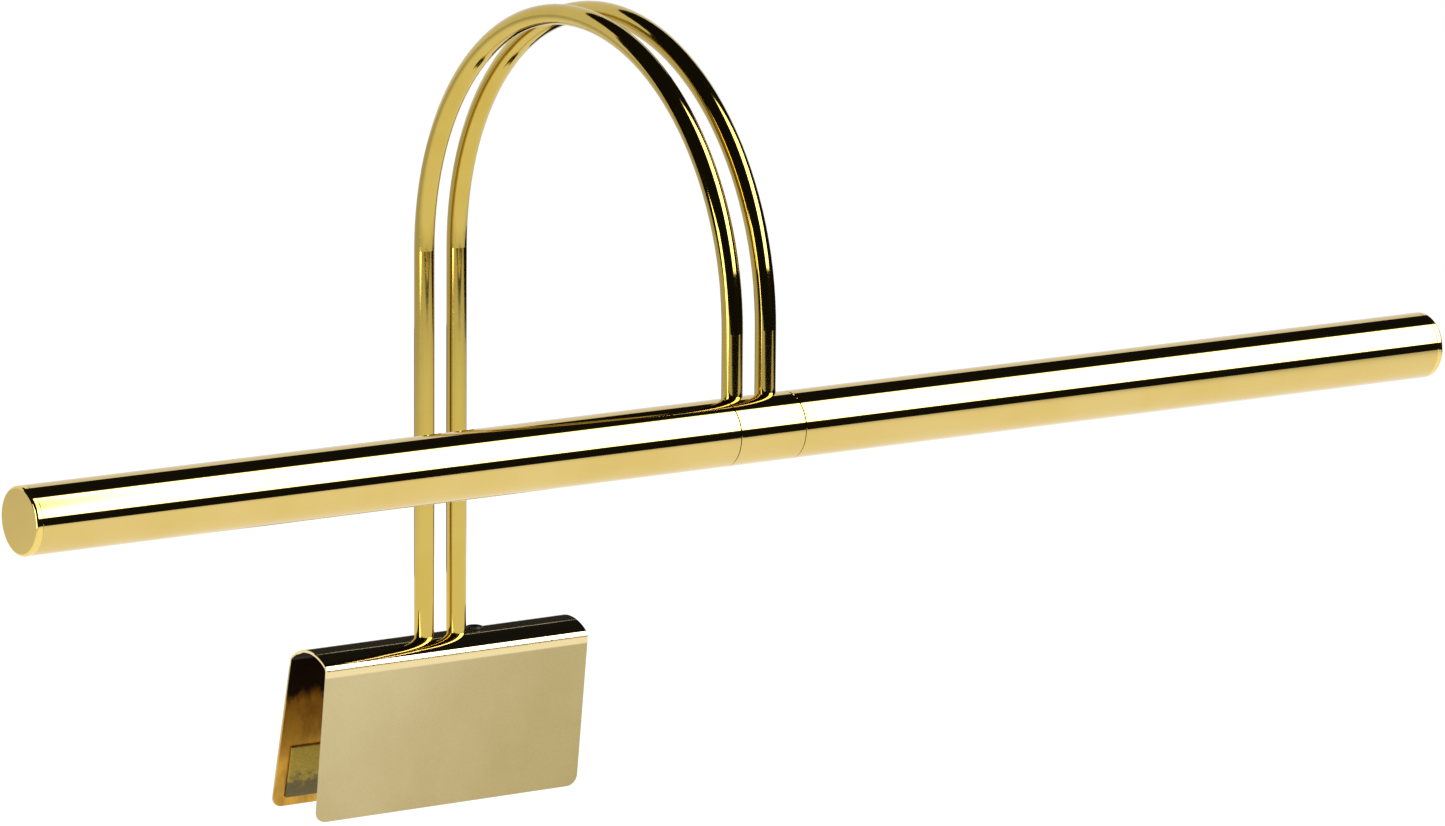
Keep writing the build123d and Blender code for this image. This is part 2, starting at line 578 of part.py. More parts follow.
for side, name in SIDES:
    # Two insulated wires run up each arm and out to that side's lampholder.
    with BuildPart() as lead_pair:
        for offset_x, drop_z in zip((WIRE_OFFSET, -WIRE_OFFSET), WIRE_DROPS):
            x = side * (ARM_PITCH / 2 + offset_x)
            turn_z = BAR_Z + drop_z
            with BuildLine() as route:
                Line((x, 0, WIRE_START), (x, 0, SPRING_Z))
                ThreePointArc(
                    (x, 0, SPRING_Z),
                    (x, -ARCH_RADIUS, SPRING_Z + ARCH_RADIUS),
                    (x, ARM_FRONT_Y, SPRING_Z),
                )
                FilletPolyline(
                    (x, ARM_FRONT_Y, SPRING_Z),
                    (x, ARM_FRONT_Y, turn_z),
                    (side * WIRE_TURN_X, BAR_Y, turn_z),
                    (side * WIRE_END, BAR_Y, turn_z),
                    radius=WIRE_TURN_RADII,
                )
            with BuildSketch(Plane.XY.offset(WIRE_START)):
                with Locations((x, 0)):
                    Circle(WIRE_RADIUS)
            sweep(path=route.wires()[0])
    save(lead_pair.part, f"lead_pair_{name}")

    # A pin in the hub's face runs in the collar's groove and stops the shade.
    with BuildPart() as stop_pin:
        with BuildSketch(cross_plane(side * STOP_PIN_ROOT)):
            with Locations((0, -STOP_PIN_CIRCLE)):
                Circle(STOP_PIN_RADIUS - HAIRLINE)
        extrude(amount=side * (STOP_PIN_TIP - STOP_PIN_ROOT))
    save(stop_pin.part, f"stop_pin_{name}")

    with BuildPart() as shade_collar:
        with BuildSketch(cross_plane(side * SHADE_START)):
            Circle(COLLAR_RADIUS)
            Circle(COLLAR_BORE, mode=Mode.SUBTRACT)
        extrude(amount=side * COLLAR_LENGTH)
        groove_start = -90.0 - TURN_UP - STOP_SLACK
        groove_sweep = TURN_UP + TURN_DOWN + 2 * STOP_SLACK
        groove_line = CenterArc((0, 0), STOP_PIN_CIRCLE, groove_start, groove_sweep)
        with BuildSketch(cross_plane(side * SHADE_START)):
            SlotArc(groove_line, STOP_GROOVE_WIDTH)
        extrude(amount=side * STOP_GROOVE_DEPTH, mode=Mode.SUBTRACT)
    save(shade_collar.part, f"shade_collar_{name}")

    # A coned spring washer behind the collar gives the shade its friction.
    with BuildPart() as spring_washer:
        with BuildSketch(turning_plane(side)):
            with BuildLine():
                Polyline(
                    (WASHER_END - WASHER_THICKNESS, WASHER_INNER),
                    (WASHER_END, WASHER_INNER),
                    (WASHER_START + WASHER_THICKNESS, WASHER_OUTER),
                    (WASHER_START, WASHER_OUTER),
                    close=True,
                )
            make_face()
        revolve(axis=BAR_AXIS)
    save(spring_washer.part, f"spring_washer_{name}")

    with BuildPart() as retaining_ring:
        with BuildSketch(cross_plane(side * RING_START)):
            with Locations((0, 0)):
                Circle(RING_OUTER)
                Circle(RING_INNER, mode=Mode.SUBTRACT)
            with Locations((0, RING_OUTER)):
                Rectangle(RING_GAP_WIDTH, RING_OUTER, mode=Mode.SUBTRACT)
        extrude(amount=side * RING_THICKNESS)
    save(retaining_ring.part, f"retaining_ring_{name}")

    with BuildPart() as shade_tube:
        with BuildSketch(turning_plane(side)):
            with BuildLine():
                Polyline(*ring_outline(SHADE_START, SHADE_END, SHADE_BORE, BAR_RADIUS, EDGE), close=True)
            make_face()
        revolve(axis=BAR_AXIS)
        slot_normal = (0, cos(radians(SLOT_ANGLE)), sin(radians(SLOT_ANGLE)))
        slot_middle = (side * (SLOT_START + SLOT_END) / 2, BAR_Y, BAR_Z)
        with BuildSketch(Plane(origin=slot_middle, x_dir=(1, 0, 0), z_dir=slot_normal)):
            RectangleRounded(SLOT_END - SLOT_START, SLOT_WIDTH, SLOT_CORNER)
        extrude(amount=2 * BAR_RADIUS, mode=Mode.SUBTRACT)
    save(shade_tube.part, f"shade_tube_{name}")

    # A rolled bright sheet springs into the tube and leaves only the slot clear.
    with BuildPart() as reflector:
        with BuildSketch(radial_plane(SLOT_ANGLE + (360 - REFLECTOR_ARC) / 2)):
            with Locations((side * REFLECTOR_MIDDLE, REFLECTOR_INNER + REFLECTOR_SHEET / 2)):
                Rectangle(REFLECTOR_LENGTH, REFLECTOR_SHEET)
        revolve(axis=BAR_AXIS, revolution_arc=REFLECTOR_ARC)
    save(reflector.part, f"reflector_{name}")

    with BuildPart() as end_cap:
        with BuildSketch(turning_plane(side)):
            with BuildLine():
                Polyline(
                    (HALF_BAR - CAP_DISC, 0),
                    (HALF_BAR - CAP_DISC, CAP_PLUG_RADIUS - CAP_PLUG_WALL),
                    (CAP_PLUG_START, CAP_PLUG_RADIUS - CAP_PLUG_WALL),
                    (CAP_PLUG_START, CAP_PLUG_RADIUS),
                    (SHADE_END, CAP_PLUG_RADIUS),
                    (SHADE_END, BAR_RADIUS - EDGE),
                    (SHADE_END + EDGE, BAR_RADIUS),
                    (HALF_BAR - CAP_EDGE_RADIUS, BAR_RADIUS),
                )
                RadiusArc(
                    (HALF_BAR - CAP_EDGE_RADIUS, BAR_RADIUS),
                    (HALF_BAR, BAR_RADIUS - CAP_EDGE_RADIUS),
                    CAP_EDGE_RADIUS,
                )
                Polyline((HALF_BAR, BAR_RADIUS - CAP_EDGE_RADIUS), (HALF_BAR, 0), (HALF_BAR - CAP_DISC, 0))
            make_face()
        revolve(axis=BAR_AXIS)
    save(end_cap.part, f"end_cap_{name}")

    # Porcelain lampholder, its neck held in the hub's spigot.
    with BuildPart() as lampholder:
        with BuildSketch(turning_plane(side)):
            with BuildLine():
                Polyline(
                    (HOLDER_NECK_START, HOLDER_WIRE_BORE),
                    (HOLDER_NECK_START, HOLDER_NECK_RADIUS),
                    (HOLDER_START, HOLDER_NECK_RADIUS),
                    (HOLDER_START, HOLDER_RADIUS - HOLDER_CHAMFER),
                    (HOLDER_START + HOLDER_CHAMFER, HOLDER_RADIUS),
                    (HOLDER_END - HOLDER_CHAMFER, HOLDER_RADIUS),
                    (HOLDER_END, HOLDER_RADIUS - HOLDER_CHAMFER),
                    (HOLDER_END, HOLDER_CAVITY_RADIUS),
                    (HOLDER_CAVITY_FLOOR, HOLDER_CAVITY_RADIUS),
                    (HOLDER_CAVITY_FLOOR, HOLDER_WIRE_BORE),
                    close=True,
                )
            make_face()
        revolve(axis=BAR_AXIS)
    save(lampholder.part, f"lampholder_{name}")

    with BuildPart() as screw_shell:
        with BuildSketch(turning_plane(side)):
            with BuildLine():
                Polyline(*ring_outline(SHELL_START, SHELL_END, SHELL_INNER, SHELL_OUTER), close=True)
            make_face()
        revolve(axis=BAR_AXIS)
    save(screw_shell.part, f"screw_shell_{name}")

    # Bent bronze leaf that presses on the lamp's tip.
    with BuildPart() as centre_contact:
        with BuildSketch(turning_plane(side)):
            with BuildLine():
                Polyline(
                    (LEAF_LOW, LEAF_FOOT),
                    (LEAF_LOW + LEAF_SHEET, LEAF_FOOT),
                    (LEAF_LOW + LEAF_SHEET, LEAF_BEND),
                    (LEAF_HIGH, LEAF_TIP),
                    (LEAF_HIGH, -LEAF_TIP),
                    (LEAF_HIGH - LEAF_SHEET, -LEAF_TIP),
                    (LEAF_HIGH - LEAF_SHEET, LEAF_TIP - LEAF_THIN),
                    (LEAF_LOW, LEAF_BEND - LEAF_THIN),
                    close=True,
                )
            make_face()
        extrude(amount=LEAF_HALF_WIDTH, both=True)
    save(centre_contact.part, f"centre_contact_{name}")

    with BuildPart() as lamp_contact:
        with BuildSketch(turning_plane(side)):
            with BuildLine():
                Polyline(
                    (LAMP_TIP, 0),
                    (LAMP_TIP, LAMP_TIP_RADIUS),
                    (LAMP_TIP + LAMP_TIP_LENGTH, LAMP_TIP_ROOT_RADIUS),
                    (LAMP_TIP + LAMP_TIP_LENGTH, 0),
                    close=True,
                )
            make_face()
        revolve(axis=BAR_AXIS)
    save(lamp_contact.part, f"lamp_contact_{name}")

    with BuildPart() as lamp_insulator:
        with BuildSketch(turning_plane(side)):
            with BuildLine():
                Polyline(
                    (INSULATOR_START, 0),
                    (INSULATOR_START, INSULATOR_RADIUS),
                    (LAMP_BASE_START - HAIRLINE, INSULATOR_ROOT_RADIUS),
                    (LAMP_BASE_START - HAIRLINE, 0),
                    close=True,
                )
            make_face()
        revolve(axis=BAR_AXIS)
    save(lamp_insulator.part, f"lamp_insulator_{name}")

    # The brass base: rolled thread, then a plain collar to the glass.
    with BuildPart() as lamp_base:
        thread_start = LAMP_BASE_START + LAMP_BASE_LEAD
        thread_end = thread_start + LAMP_THREAD_TURNS * LAMP_THREAD_PITCH
        with BuildSketch(turning_plane(side)):
            with BuildLine():
                Polyline(
                    (LAMP_BASE_START + LAMP_BASE_FLOOR, LAMP_BASE_BORE),
                    (LAMP_BASE_START + LAMP_BASE_FLOOR, LAMP_BASE_MOUTH),
                    (LAMP_BASE_START, LAMP_BASE_MOUTH),
                    (LAMP_BASE_START, LAMP_THREAD_ROOT - LAMP_BASE_LEAD_FALL),
                    (thread_start, LAMP_THREAD_ROOT),
                )
                for turn in range(LAMP_THREAD_TURNS):
                    valley = thread_start + turn * LAMP_THREAD_PITCH
                    ThreePointArc(
                        (valley, LAMP_THREAD_ROOT),
                        (valley + LAMP_THREAD_PITCH / 2, LAMP_THREAD_RADIUS),
                        (valley + LAMP_THREAD_PITCH, LAMP_THREAD_ROOT),
                    )
                Polyline(
                    (thread_end, LAMP_THREAD_ROOT),
                    (LAMP_BASE_END, LAMP_THREAD_ROOT),
                    (LAMP_BASE_END, LAMP_BASE_BORE),
                    (LAMP_BASE_START + LAMP_BASE_FLOOR, LAMP_BASE_BORE),
                )
            make_face()
        revolve(axis=BAR_AXIS)
    save(lamp_base.part, f"lamp_base_{name}")

    with BuildPart() as lamp_glass:
        inner = GLASS_RADIUS - GLASS_WALL
        diagonal = cos(radians(45))
        with BuildSketch(turning_plane(side)):
            with BuildLine():
                Polyline(
                    (GLASS_DOME_START, inner),
                    (GLASS_SHOULDER_END + GLASS_SHOULDER_SHIFT, inner),
                    (GLASS_SHOULDER_START + GLASS_SHOULDER_SHIFT, GLASS_NECK_RADIUS - GLASS_WALL),
                    (GLASS_NECK_START, GLASS_NECK_RADIUS - GLASS_WALL),
                    (GLASS_NECK_START, GLASS_NECK_RADIUS),
                    (GLASS_SHOULDER_START, GLASS_NECK_RADIUS),
                    (GLASS_SHOULDER_END, GLASS_RADIUS),
                    (GLASS_DOME_START, GLASS_RADIUS),
                )
                ThreePointArc(
                    (GLASS_DOME_START, GLASS_RADIUS),
                    (GLASS_DOME_START + GLASS_RADIUS * diagonal, GLASS_RADIUS * diagonal),
                    (GLASS_DOME_START + GLASS_RADIUS, 0),
                )
                Line((GLASS_DOME_START + GLASS_RADIUS, 0), (GLASS_DOME_START + inner, 0))
                ThreePointArc(
                    (GLASS_DOME_START + inner, 0),
                    (GLASS_DOME_START + inner * diagonal, inner * diagonal),
                    (GLASS_DOME_START, inner),
                )
            make_face()
        revolve(axis=BAR_AXIS)
    save(lamp_glass.part, f"lamp_glass_{name}")

    # Glass stem with a flared foot, sealed in the lamp's neck.
    with BuildPart() as lamp_stem:
        with BuildSketch(turning_plane(side)):
            with BuildLine():
                Polyline(
                    (STEM_START, 0),
                    (STEM_START, STEM_FOOT_RADIUS),
                    (STEM_START + STEM_FLARE, STEM_RADIUS),
                    (STEM_END, STEM_RADIUS),
                    (STEM_END, 0),
                    close=True,
                )
            make_face()
        revolve(axis=BAR_AXIS)
    save(lamp_stem.part, f"lamp_stem_{name}")

    # One long hairpin filament between two lead-in wires.
    with BuildPart() as lamp_filament:
        with BuildLine(turning_plane(side)) as hairpin:
            FilletPolyline(
                (HAIRPIN_START, HAIRPIN_HALF),
                (HAIRPIN_END, HAIRPIN_HALF),
                (HAIRPIN_END, -HAIRPIN_HALF),
                (HAIRPIN_START, -HAIRPIN_HALF),
                radius=WIRE_BEND,
            )
        with BuildSketch(cross_plane(side * HAIRPIN_START)):
            with Locations((0, HAIRPIN_HALF)):
                Circle(FILAMENT_RADIUS)
        sweep(path=hairpin.wires()[0])
    save(lamp_filament.part, f"lamp_filament_{name}")

    with BuildPart() as lamp_supports:
        for half in (HAIRPIN_HALF, -HAIRPIN_HALF):
            with BuildLine(turning_plane(side)) as lead_in:
                FilletPolyline(
                    (LEAD_IN_START, half / 2),
                    (STEM_END + LEAD_IN_STRAIGHT, half / 2),
                    (HAIRPIN_START - LEAD_IN_STRAIGHT, half),
                    (HAIRPIN_START - CLEARANCE, half),
                    radius=WIRE_BEND,
                )
            with BuildSketch(cross_plane(side * LEAD_IN_START)):
                with Locations((0, half / 2)):
                    Circle(LEAD_IN_RADIUS)
            sweep(path=lead_in.wires()[0])
        with BuildSketch(cross_plane(side * (STEM_END + 0.05))):
            Circle(LEAD_IN_RADIUS)
        extrude(amount=side * (HAIRPIN_END - STEM_END - 2))
    save(lamp_supports.part, f"lamp_supports_{name}")
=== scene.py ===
# %% [markdown]
# # A clip-on picture light in polished brass
# The lamp is a thin round bar with a turning shade on each side of a short hub. Two bent
# tubes carry it forwards from a folded sheet clip. The engineering model holds every part
# at its real size, so this lesson gives it light, finishes and its soft and fine pieces.
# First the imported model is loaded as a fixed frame.

# %% Load the frame
import json
import math

import bpy
from mathutils import Matrix, Vector

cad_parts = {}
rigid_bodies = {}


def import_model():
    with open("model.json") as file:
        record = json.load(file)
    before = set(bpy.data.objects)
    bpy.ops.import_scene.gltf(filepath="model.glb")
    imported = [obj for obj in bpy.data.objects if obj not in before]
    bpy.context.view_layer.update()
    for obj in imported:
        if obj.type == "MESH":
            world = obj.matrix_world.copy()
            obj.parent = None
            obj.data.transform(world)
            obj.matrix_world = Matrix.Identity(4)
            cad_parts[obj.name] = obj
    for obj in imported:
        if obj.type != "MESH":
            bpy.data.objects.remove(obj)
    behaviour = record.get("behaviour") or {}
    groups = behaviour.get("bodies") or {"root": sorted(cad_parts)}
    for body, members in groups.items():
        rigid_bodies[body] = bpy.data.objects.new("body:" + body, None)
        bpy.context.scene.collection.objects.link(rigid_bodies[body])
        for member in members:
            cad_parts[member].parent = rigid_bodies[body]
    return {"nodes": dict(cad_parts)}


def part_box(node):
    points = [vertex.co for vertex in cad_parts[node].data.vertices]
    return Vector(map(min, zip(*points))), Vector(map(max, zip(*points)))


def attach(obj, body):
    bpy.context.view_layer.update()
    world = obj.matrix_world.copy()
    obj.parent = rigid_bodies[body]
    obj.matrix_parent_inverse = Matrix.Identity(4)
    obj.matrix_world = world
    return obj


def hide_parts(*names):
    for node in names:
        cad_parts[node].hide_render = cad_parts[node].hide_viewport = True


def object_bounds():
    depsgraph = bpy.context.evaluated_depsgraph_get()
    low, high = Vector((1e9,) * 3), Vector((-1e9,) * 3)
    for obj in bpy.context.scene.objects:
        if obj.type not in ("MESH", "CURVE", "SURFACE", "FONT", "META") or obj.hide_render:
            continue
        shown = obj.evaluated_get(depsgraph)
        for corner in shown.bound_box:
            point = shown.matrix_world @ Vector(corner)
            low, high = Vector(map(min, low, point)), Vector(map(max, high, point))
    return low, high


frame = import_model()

cad_low, cad_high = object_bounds()
nodes = frame["nodes"]
print("nodes", len(nodes), "box", cad_low[:], cad_high[:])

# %% [markdown]
# ## Useful places
# Lights, cards and colours are placed from the engineering pieces themselves. The hub's
# sleeve gives the bar's axis, the clip gives the heights of its finishes, and the lowest
# point of all gives the floor.

# %% Useful places
MM = 0.001
sleeve_low, sleeve_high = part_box("hub_sleeve")
clip_low, clip_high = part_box("clip_saddle")
bar_axis = (sleeve_low + sleeve_high) / 2
bar_radius = (sleeve_high.z - sleeve_low.z) / 2
floor_z = cad_low.z
print("bar axis", bar_axis[:], "radius", bar_radius)

# %% [markdown]
# ## The camera
# A long lens from well back keeps the bar's two ends nearly the same size, as in a
# catalogue picture. The camera stands to the left and a little above, so the clip shows
# behind and below the bar. It is placed by its turn, its tilt and its distance from a
# point on the bar, and then rolled by a third of a degree.

# %% Camera
CAMERA_TURN = math.radians(34.66)
CAMERA_DOWN = math.radians(10.94)
CAMERA_ROLL = math.radians(0.366)
CAMERA_DISTANCE = 3.656
CAMERA_LENS = 245.3
AIM_OFFSET = Vector((-0.0147, 0.0, 0.0075))
SENSOR_WIDTH = 36.0
FARTHEST = 100.0

aim = bar_axis + AIM_OFFSET
looking = Vector(
    (
        math.sin(CAMERA_TURN) * math.cos(CAMERA_DOWN),
        math.cos(CAMERA_TURN) * math.cos(CAMERA_DOWN),
        -math.sin(CAMERA_DOWN),
    )
)
camera_data = bpy.data.cameras.new("camera")
camera_data.lens = CAMERA_LENS
camera_data.sensor_width = SENSOR_WIDTH
camera_data.clip_end = FARTHEST
camera = bpy.data.objects.new("camera", camera_data)
bpy.context.scene.collection.objects.link(camera)
camera.rotation_mode = "QUATERNION"
roll = Matrix.Rotation(-CAMERA_ROLL, 3, looking)
level = looking.to_track_quat("-Z", "Y").to_matrix()
camera.rotation_quaternion = (roll @ level).to_quaternion()
camera.location = aim - looking * CAMERA_DISTANCE
bpy.context.scene.camera = camera
print("camera at", camera.location[:])

# %% [markdown]
# ## The studio
# Polished brass has almost no colour of its own in a picture: it shows the room. The room
# is a white floor, a white wall behind, one large soft light in front and above, one
# narrow light at the left, and darkness everywhere else. The dark gaps between them draw
# the crisp black lines along the bar and the arms. Cards with a glowing surface are easier
# to place than lamps here, because their edges show in the metal.

# %% Studio helpers
bpy.context.scene.view_settings.view_transform = "Standard"


def deselect_everything():
    for thing in bpy.context.view_layer.objects:
        thing.select_set(False)
    bpy.context.view_layer.objects.active = None


def link(tree, value, socket):
    """Joins a value to a socket, or writes it there if it is a plain number."""
    if isinstance(value, bpy.types.NodeSocket):
        tree.links.new(value, socket)
    else:
        socket.default_value = value


def calculate(tree, operation, first, second=0.0):
    node = tree.nodes.new("ShaderNodeMath")
    node.operation = operation
    link(tree, first, node.inputs[0])
    link(tree, second, node.inputs[1])
    return node.outputs[0]


def ramp(tree, value, low, high, to_low=0.0, to_high=1.0, smooth=True):
    """Turns a value between low and high into one between to_low and to_high."""
    node = tree.nodes.new("ShaderNodeMapRange")
    node.interpolation_type = "SMOOTHSTEP" if smooth else "LINEAR"
    link(tree, value, node.inputs["Value"])
    node.inputs["From Min"].default_value = low
    node.inputs["From Max"].default_value = high
    link(tree, to_low, node.inputs["To Min"])
    link(tree, to_high, node.inputs["To Max"])
    return node.outputs[0]


def axes_of(tree, space="Object"):
    place = tree.nodes.new("ShaderNodeTexCoord")
    axes = tree.nodes.new("ShaderNodeSeparateXYZ")
    tree.links.new(place.outputs[space], axes.inputs[0])
    return axes.outputs


def glowing(name):
    """A card's material, with the tree and the emission node that a caller then feeds."""
    material = bpy.data.materials.new(name)
    material.use_nodes = True
    tree = material.node_tree
    tree.nodes.clear()
    output = tree.nodes.new("ShaderNodeOutputMaterial")
    glow = tree.nodes.new("ShaderNodeEmission")
    tree.links.new(glow.outputs[0], output.inputs["Surface"])
    return material, tree, glow


def card(name, corner, across, along, material):
    """A flat rectangle from one corner and its two sides, kept out of the camera's sight."""
    deselect_everything()
    bpy.ops.mesh.primitive_plane_add(size=1.0)
    plane = bpy.context.active_object
    plane.name = name
    corner, across, along = Vector(corner), Vector(across), Vector(along)
    normal = across.cross(along).normalized()
    shape = Matrix((across, along, normal)).transposed().to_4x4()
    shape.translation = corner + (across + along) / 2
    plane.data.transform(shape)
    plane.data.materials.append(material)
    plane.visible_camera = False
    return plane


# %% [markdown]
# ## Floor and wall
# The floor is paper that glows almost white, so the lamp seems to stand in white light and
# still drops a faint shadow. The metal sees a second sheet in the same place, which is
# brightest near the lamp and duller further out: that gives the tubes their deeper gold.
# Both sheets stop a little way in front of the lamp, where the dark room begins. The paper
# shows from above only, so that the lamp can also be looked at from underneath.

# %% Floor and wall
FLOOR_FRONT = 0.87
FLOOR_RIGHT = 1.0
FLOOR_LEFT = 3.2
FLOOR_BACK = 3.4
PAPER_GLOW = 0.86
PAPER_WHITE = 0.25
NEAR_GLOW = 1.03
FAR_GLOW = 0.60
NEAR_REACH = 0.45
FAR_REACH = 1.25
WALL_BACK = 3.2
WALL_HEIGHT = 3.1
WALL_LENGTH = 8.5
WALL_GLOW = 0.84
FLOOR_GAP = 0.2 * MM

floor_corner = bar_axis - Vector((FLOOR_LEFT, FLOOR_FRONT, 0))
floor_corner.z = floor_z - FLOOR_GAP
floor_across = (FLOOR_LEFT + FLOOR_RIGHT, 0, 0)
floor_along = (0, FLOOR_FRONT + FLOOR_BACK, 0)

paper, tree, glow = glowing("floor_paper")
glow.inputs["Strength"].default_value = PAPER_GLOW
matt = tree.nodes.new("ShaderNodeBsdfDiffuse")
matt.inputs["Color"].default_value = (PAPER_WHITE, PAPER_WHITE, PAPER_WHITE, 1)
both = tree.nodes.new("ShaderNodeAddShader")
tree.links.new(glow.outputs[0], both.inputs[0])
tree.links.new(matt.outputs[0], both.inputs[1])
side = tree.nodes.new("ShaderNodeNewGeometry")
clear = tree.nodes.new("ShaderNodeBsdfTransparent")
one_sided = tree.nodes.new("ShaderNodeMixShader")
tree.links.new(side.outputs["Backfacing"], one_sided.inputs[0])
tree.links.new(both.outputs[0], one_sided.inputs[1])
tree.links.new(clear.outputs[0], one_sided.inputs[2])
tree.links.new(one_sided.outputs[0], tree.nodes["Material Output"].inputs["Surface"])
floor = card("floor", floor_corner, floor_across, floor_along, paper)
floor.visible_camera = True
floor.visible_glossy = False
floor.visible_diffuse = False

reflected, tree, glow = glowing("floor_reflected")
axes = axes_of(tree)
away_x = calculate(tree, "POWER", calculate(tree, "SUBTRACT", axes["X"], bar_axis.x), 2.0)
away_y = calculate(tree, "POWER", calculate(tree, "SUBTRACT", axes["Y"], bar_axis.y), 2.0)
away = calculate(tree, "SQRT", calculate(tree, "ADD", away_x, away_y))
link(tree, ramp(tree, away, NEAR_REACH, FAR_REACH, NEAR_GLOW, FAR_GLOW), glow.inputs["Strength"])
floor_reflected = card("floor_reflected", floor_corner, floor_across, floor_along, reflected)
floor_reflected.visible_transmission = False

wall_paper, tree, glow = glowing("wall_paper")
glow.inputs["Strength"].default_value = WALL_GLOW
card(
    "wall",
    (bar_axis.x - FLOOR_LEFT, bar_axis.y + WALL_BACK, floor_z),
    (WALL_LENGTH, 0, 0),
    (0, 0, WALL_HEIGHT),
    wall_paper,
)

# %% [markdown]
# ## The lights
# The large soft light is a cloth panel that leans over the front of the lamp. Its place is
# given as two angles round the bar, because those angles are where its edges appear in the
# bar. The cloth fades at its edges, so the white band in the bar has a thin golden rim. The
# narrow light stands at the left and draws the bright line down the front tubes.

# %% Soft lights
BOX_TOP = 94.5
BOX_BOTTOM = 167.5
BOX_TOP_DISTANCE = 1.61
BOX_BOTTOM_DISTANCE = 2.05
BOX_START = 0.45
BOX_LENGTH = 1.75
BOX_GLOW = 5.5
BOX_EDGE = 0.08
STRIP_TURN = -86.0
STRIP_DISTANCE = 1.0
STRIP_WIDTH = 0.4
STRIP_HEIGHT = 0.5
STRIP_GLOW = 4.0
STRIP_EDGE = 0.05
STRIP_LIFT = 10 * MM


def cloth_light(name, strength, soft_edge):
    """A glowing cloth that fades out over a share of each side."""
    material, tree, glow = glowing(name)
    axes = axes_of(tree, "UV")
    fades = []
    for axis in ("X", "Y"):
        edge = calculate(tree, "PINGPONG", axes[axis], 0.5)
        fades.append(ramp(tree, edge, 0.0, soft_edge))
    share = calculate(tree, "MULTIPLY", fades[0], fades[1])
    link(tree, calculate(tree, "MULTIPLY", share, strength), glow.inputs["Strength"])
    return material


def round_the_bar(angle, distance):
    """A point seen from the bar's axis at an angle from straight back, up and over to the front."""
    turn = math.radians(angle)
    return bar_axis + Vector((0, math.cos(turn), math.sin(turn))) * distance


box_top = round_the_bar(BOX_TOP, BOX_TOP_DISTANCE)
box_bottom = round_the_bar(BOX_BOTTOM, BOX_BOTTOM_DISTANCE)
card(
    "soft_light",
    box_bottom + Vector((BOX_START, 0, 0)),
    (BOX_LENGTH, 0, 0),
    box_top - box_bottom,
    cloth_light("soft_light_cloth", BOX_GLOW, BOX_EDGE),
)

strip_turn = math.radians(STRIP_TURN)
strip_foot = bar_axis + Vector((math.sin(strip_turn), -math.cos(strip_turn), 0)) * STRIP_DISTANCE
strip_foot.z = floor_z + STRIP_LIFT
card(
    "strip_light",
    strip_foot - Vector((0, STRIP_WIDTH / 2, 0)),
    (0, STRIP_WIDTH, 0),
    (0, 0, STRIP_HEIGHT),
    cloth_light("strip_light_cloth", STRIP_GLOW, STRIP_EDGE),
)

# %% [markdown]
# ## A black flag
# Photographers hide a reflection with a small black card. One hangs a hand's width behind
# the clip, just above it, and keeps the white wall out of its polished crown, which then
# shows as a black bend between the arms and the pale front.

# %% Flag
FLAG_BEHIND = 0.100
FLAG_LEFT = -0.015
FLAG_WIDTH = 0.190
FLAG_LOW = 0.024
FLAG_HEIGHT = 0.101
FLAG_GLOW = 0.02
flag_cloth, tree, glow = glowing("flag_cloth")
glow.inputs["Strength"].default_value = FLAG_GLOW
flag = card(
    "black_flag",
    (FLAG_LEFT, FLAG_BEHIND, FLAG_LOW),
    (FLAG_WIDTH, 0, 0),
    (0, 0, FLAG_HEIGHT),
    flag_cloth,
)
flag.visible_shadow = False
flag.visible_diffuse = False

# %% [markdown]
# ## The dark room
# Metal needs black to look like metal. The room is nearly black to every reflection, and
# white to the camera itself, so that any view has the same pale background.

# %% Room
ROOM_DARK = 0.008
world = bpy.data.worlds.new("room")
bpy.context.scene.world = world
world.use_nodes = True
tree = world.node_tree
tree.nodes.clear()
room_output = tree.nodes.new("ShaderNodeOutputWorld")
dark = tree.nodes.new("ShaderNodeBackground")
dark.inputs["Color"].default_value = (ROOM_DARK, ROOM_DARK, ROOM_DARK, 1)
pale = tree.nodes.new("ShaderNodeBackground")
pale.inputs["Color"].default_value = (1.0, 1.0, 1.0, 1)
ray = tree.nodes.new("ShaderNodeLightPath")
choose = tree.nodes.new("ShaderNodeMixShader")
tree.links.new(ray.outputs["Is Camera Ray"], choose.inputs[0])
tree.links.new(dark.outputs[0], choose.inputs[1])
tree.links.new(pale.outputs[0], choose.inputs[2])
tree.links.new(choose.outputs[0], room_output.inputs["Surface"])

# %% [markdown]
# ## Tools for finishes
# A finish starts as one shader with its own plain values. Small helpers then add what every
# real surface has: grain, a tone that wanders a little between two colours, and a fine
# relief. The grain reads the piece's own coordinates, so the pattern stays put when a shade
# turns.

# %% Finish helpers


def finish(name, roughness, metallic=0.0):
    material = bpy.data.materials.new(name)
    material.use_nodes = True
    shader = material.node_tree.nodes["Principled BSDF"]
    shader.inputs["Roughness"].default_value = roughness
    shader.inputs["Metallic"].default_value = metallic
    return material, material.node_tree, shader


def grain(tree, scale, stretch=(1, 1, 1), detail=4.0, roughness=0.55):
    """Noise on the piece's own coordinates; scale is in spots per metre."""
    place = tree.nodes.new("ShaderNodeTexCoord")
    mapping = tree.nodes.new("ShaderNodeMapping")
    mapping.inputs["Scale"].default_value = stretch
    noise = tree.nodes.new("ShaderNodeTexNoise")
    noise.inputs["Scale"].default_value = scale
    noise.inputs["Detail"].default_value = detail
    noise.inputs["Roughness"].default_value = roughness
    tree.links.new(place.outputs["Object"], mapping.inputs["Vector"])
    tree.links.new(mapping.outputs["Vector"], noise.inputs["Vector"])
    return noise.outputs["Fac"]


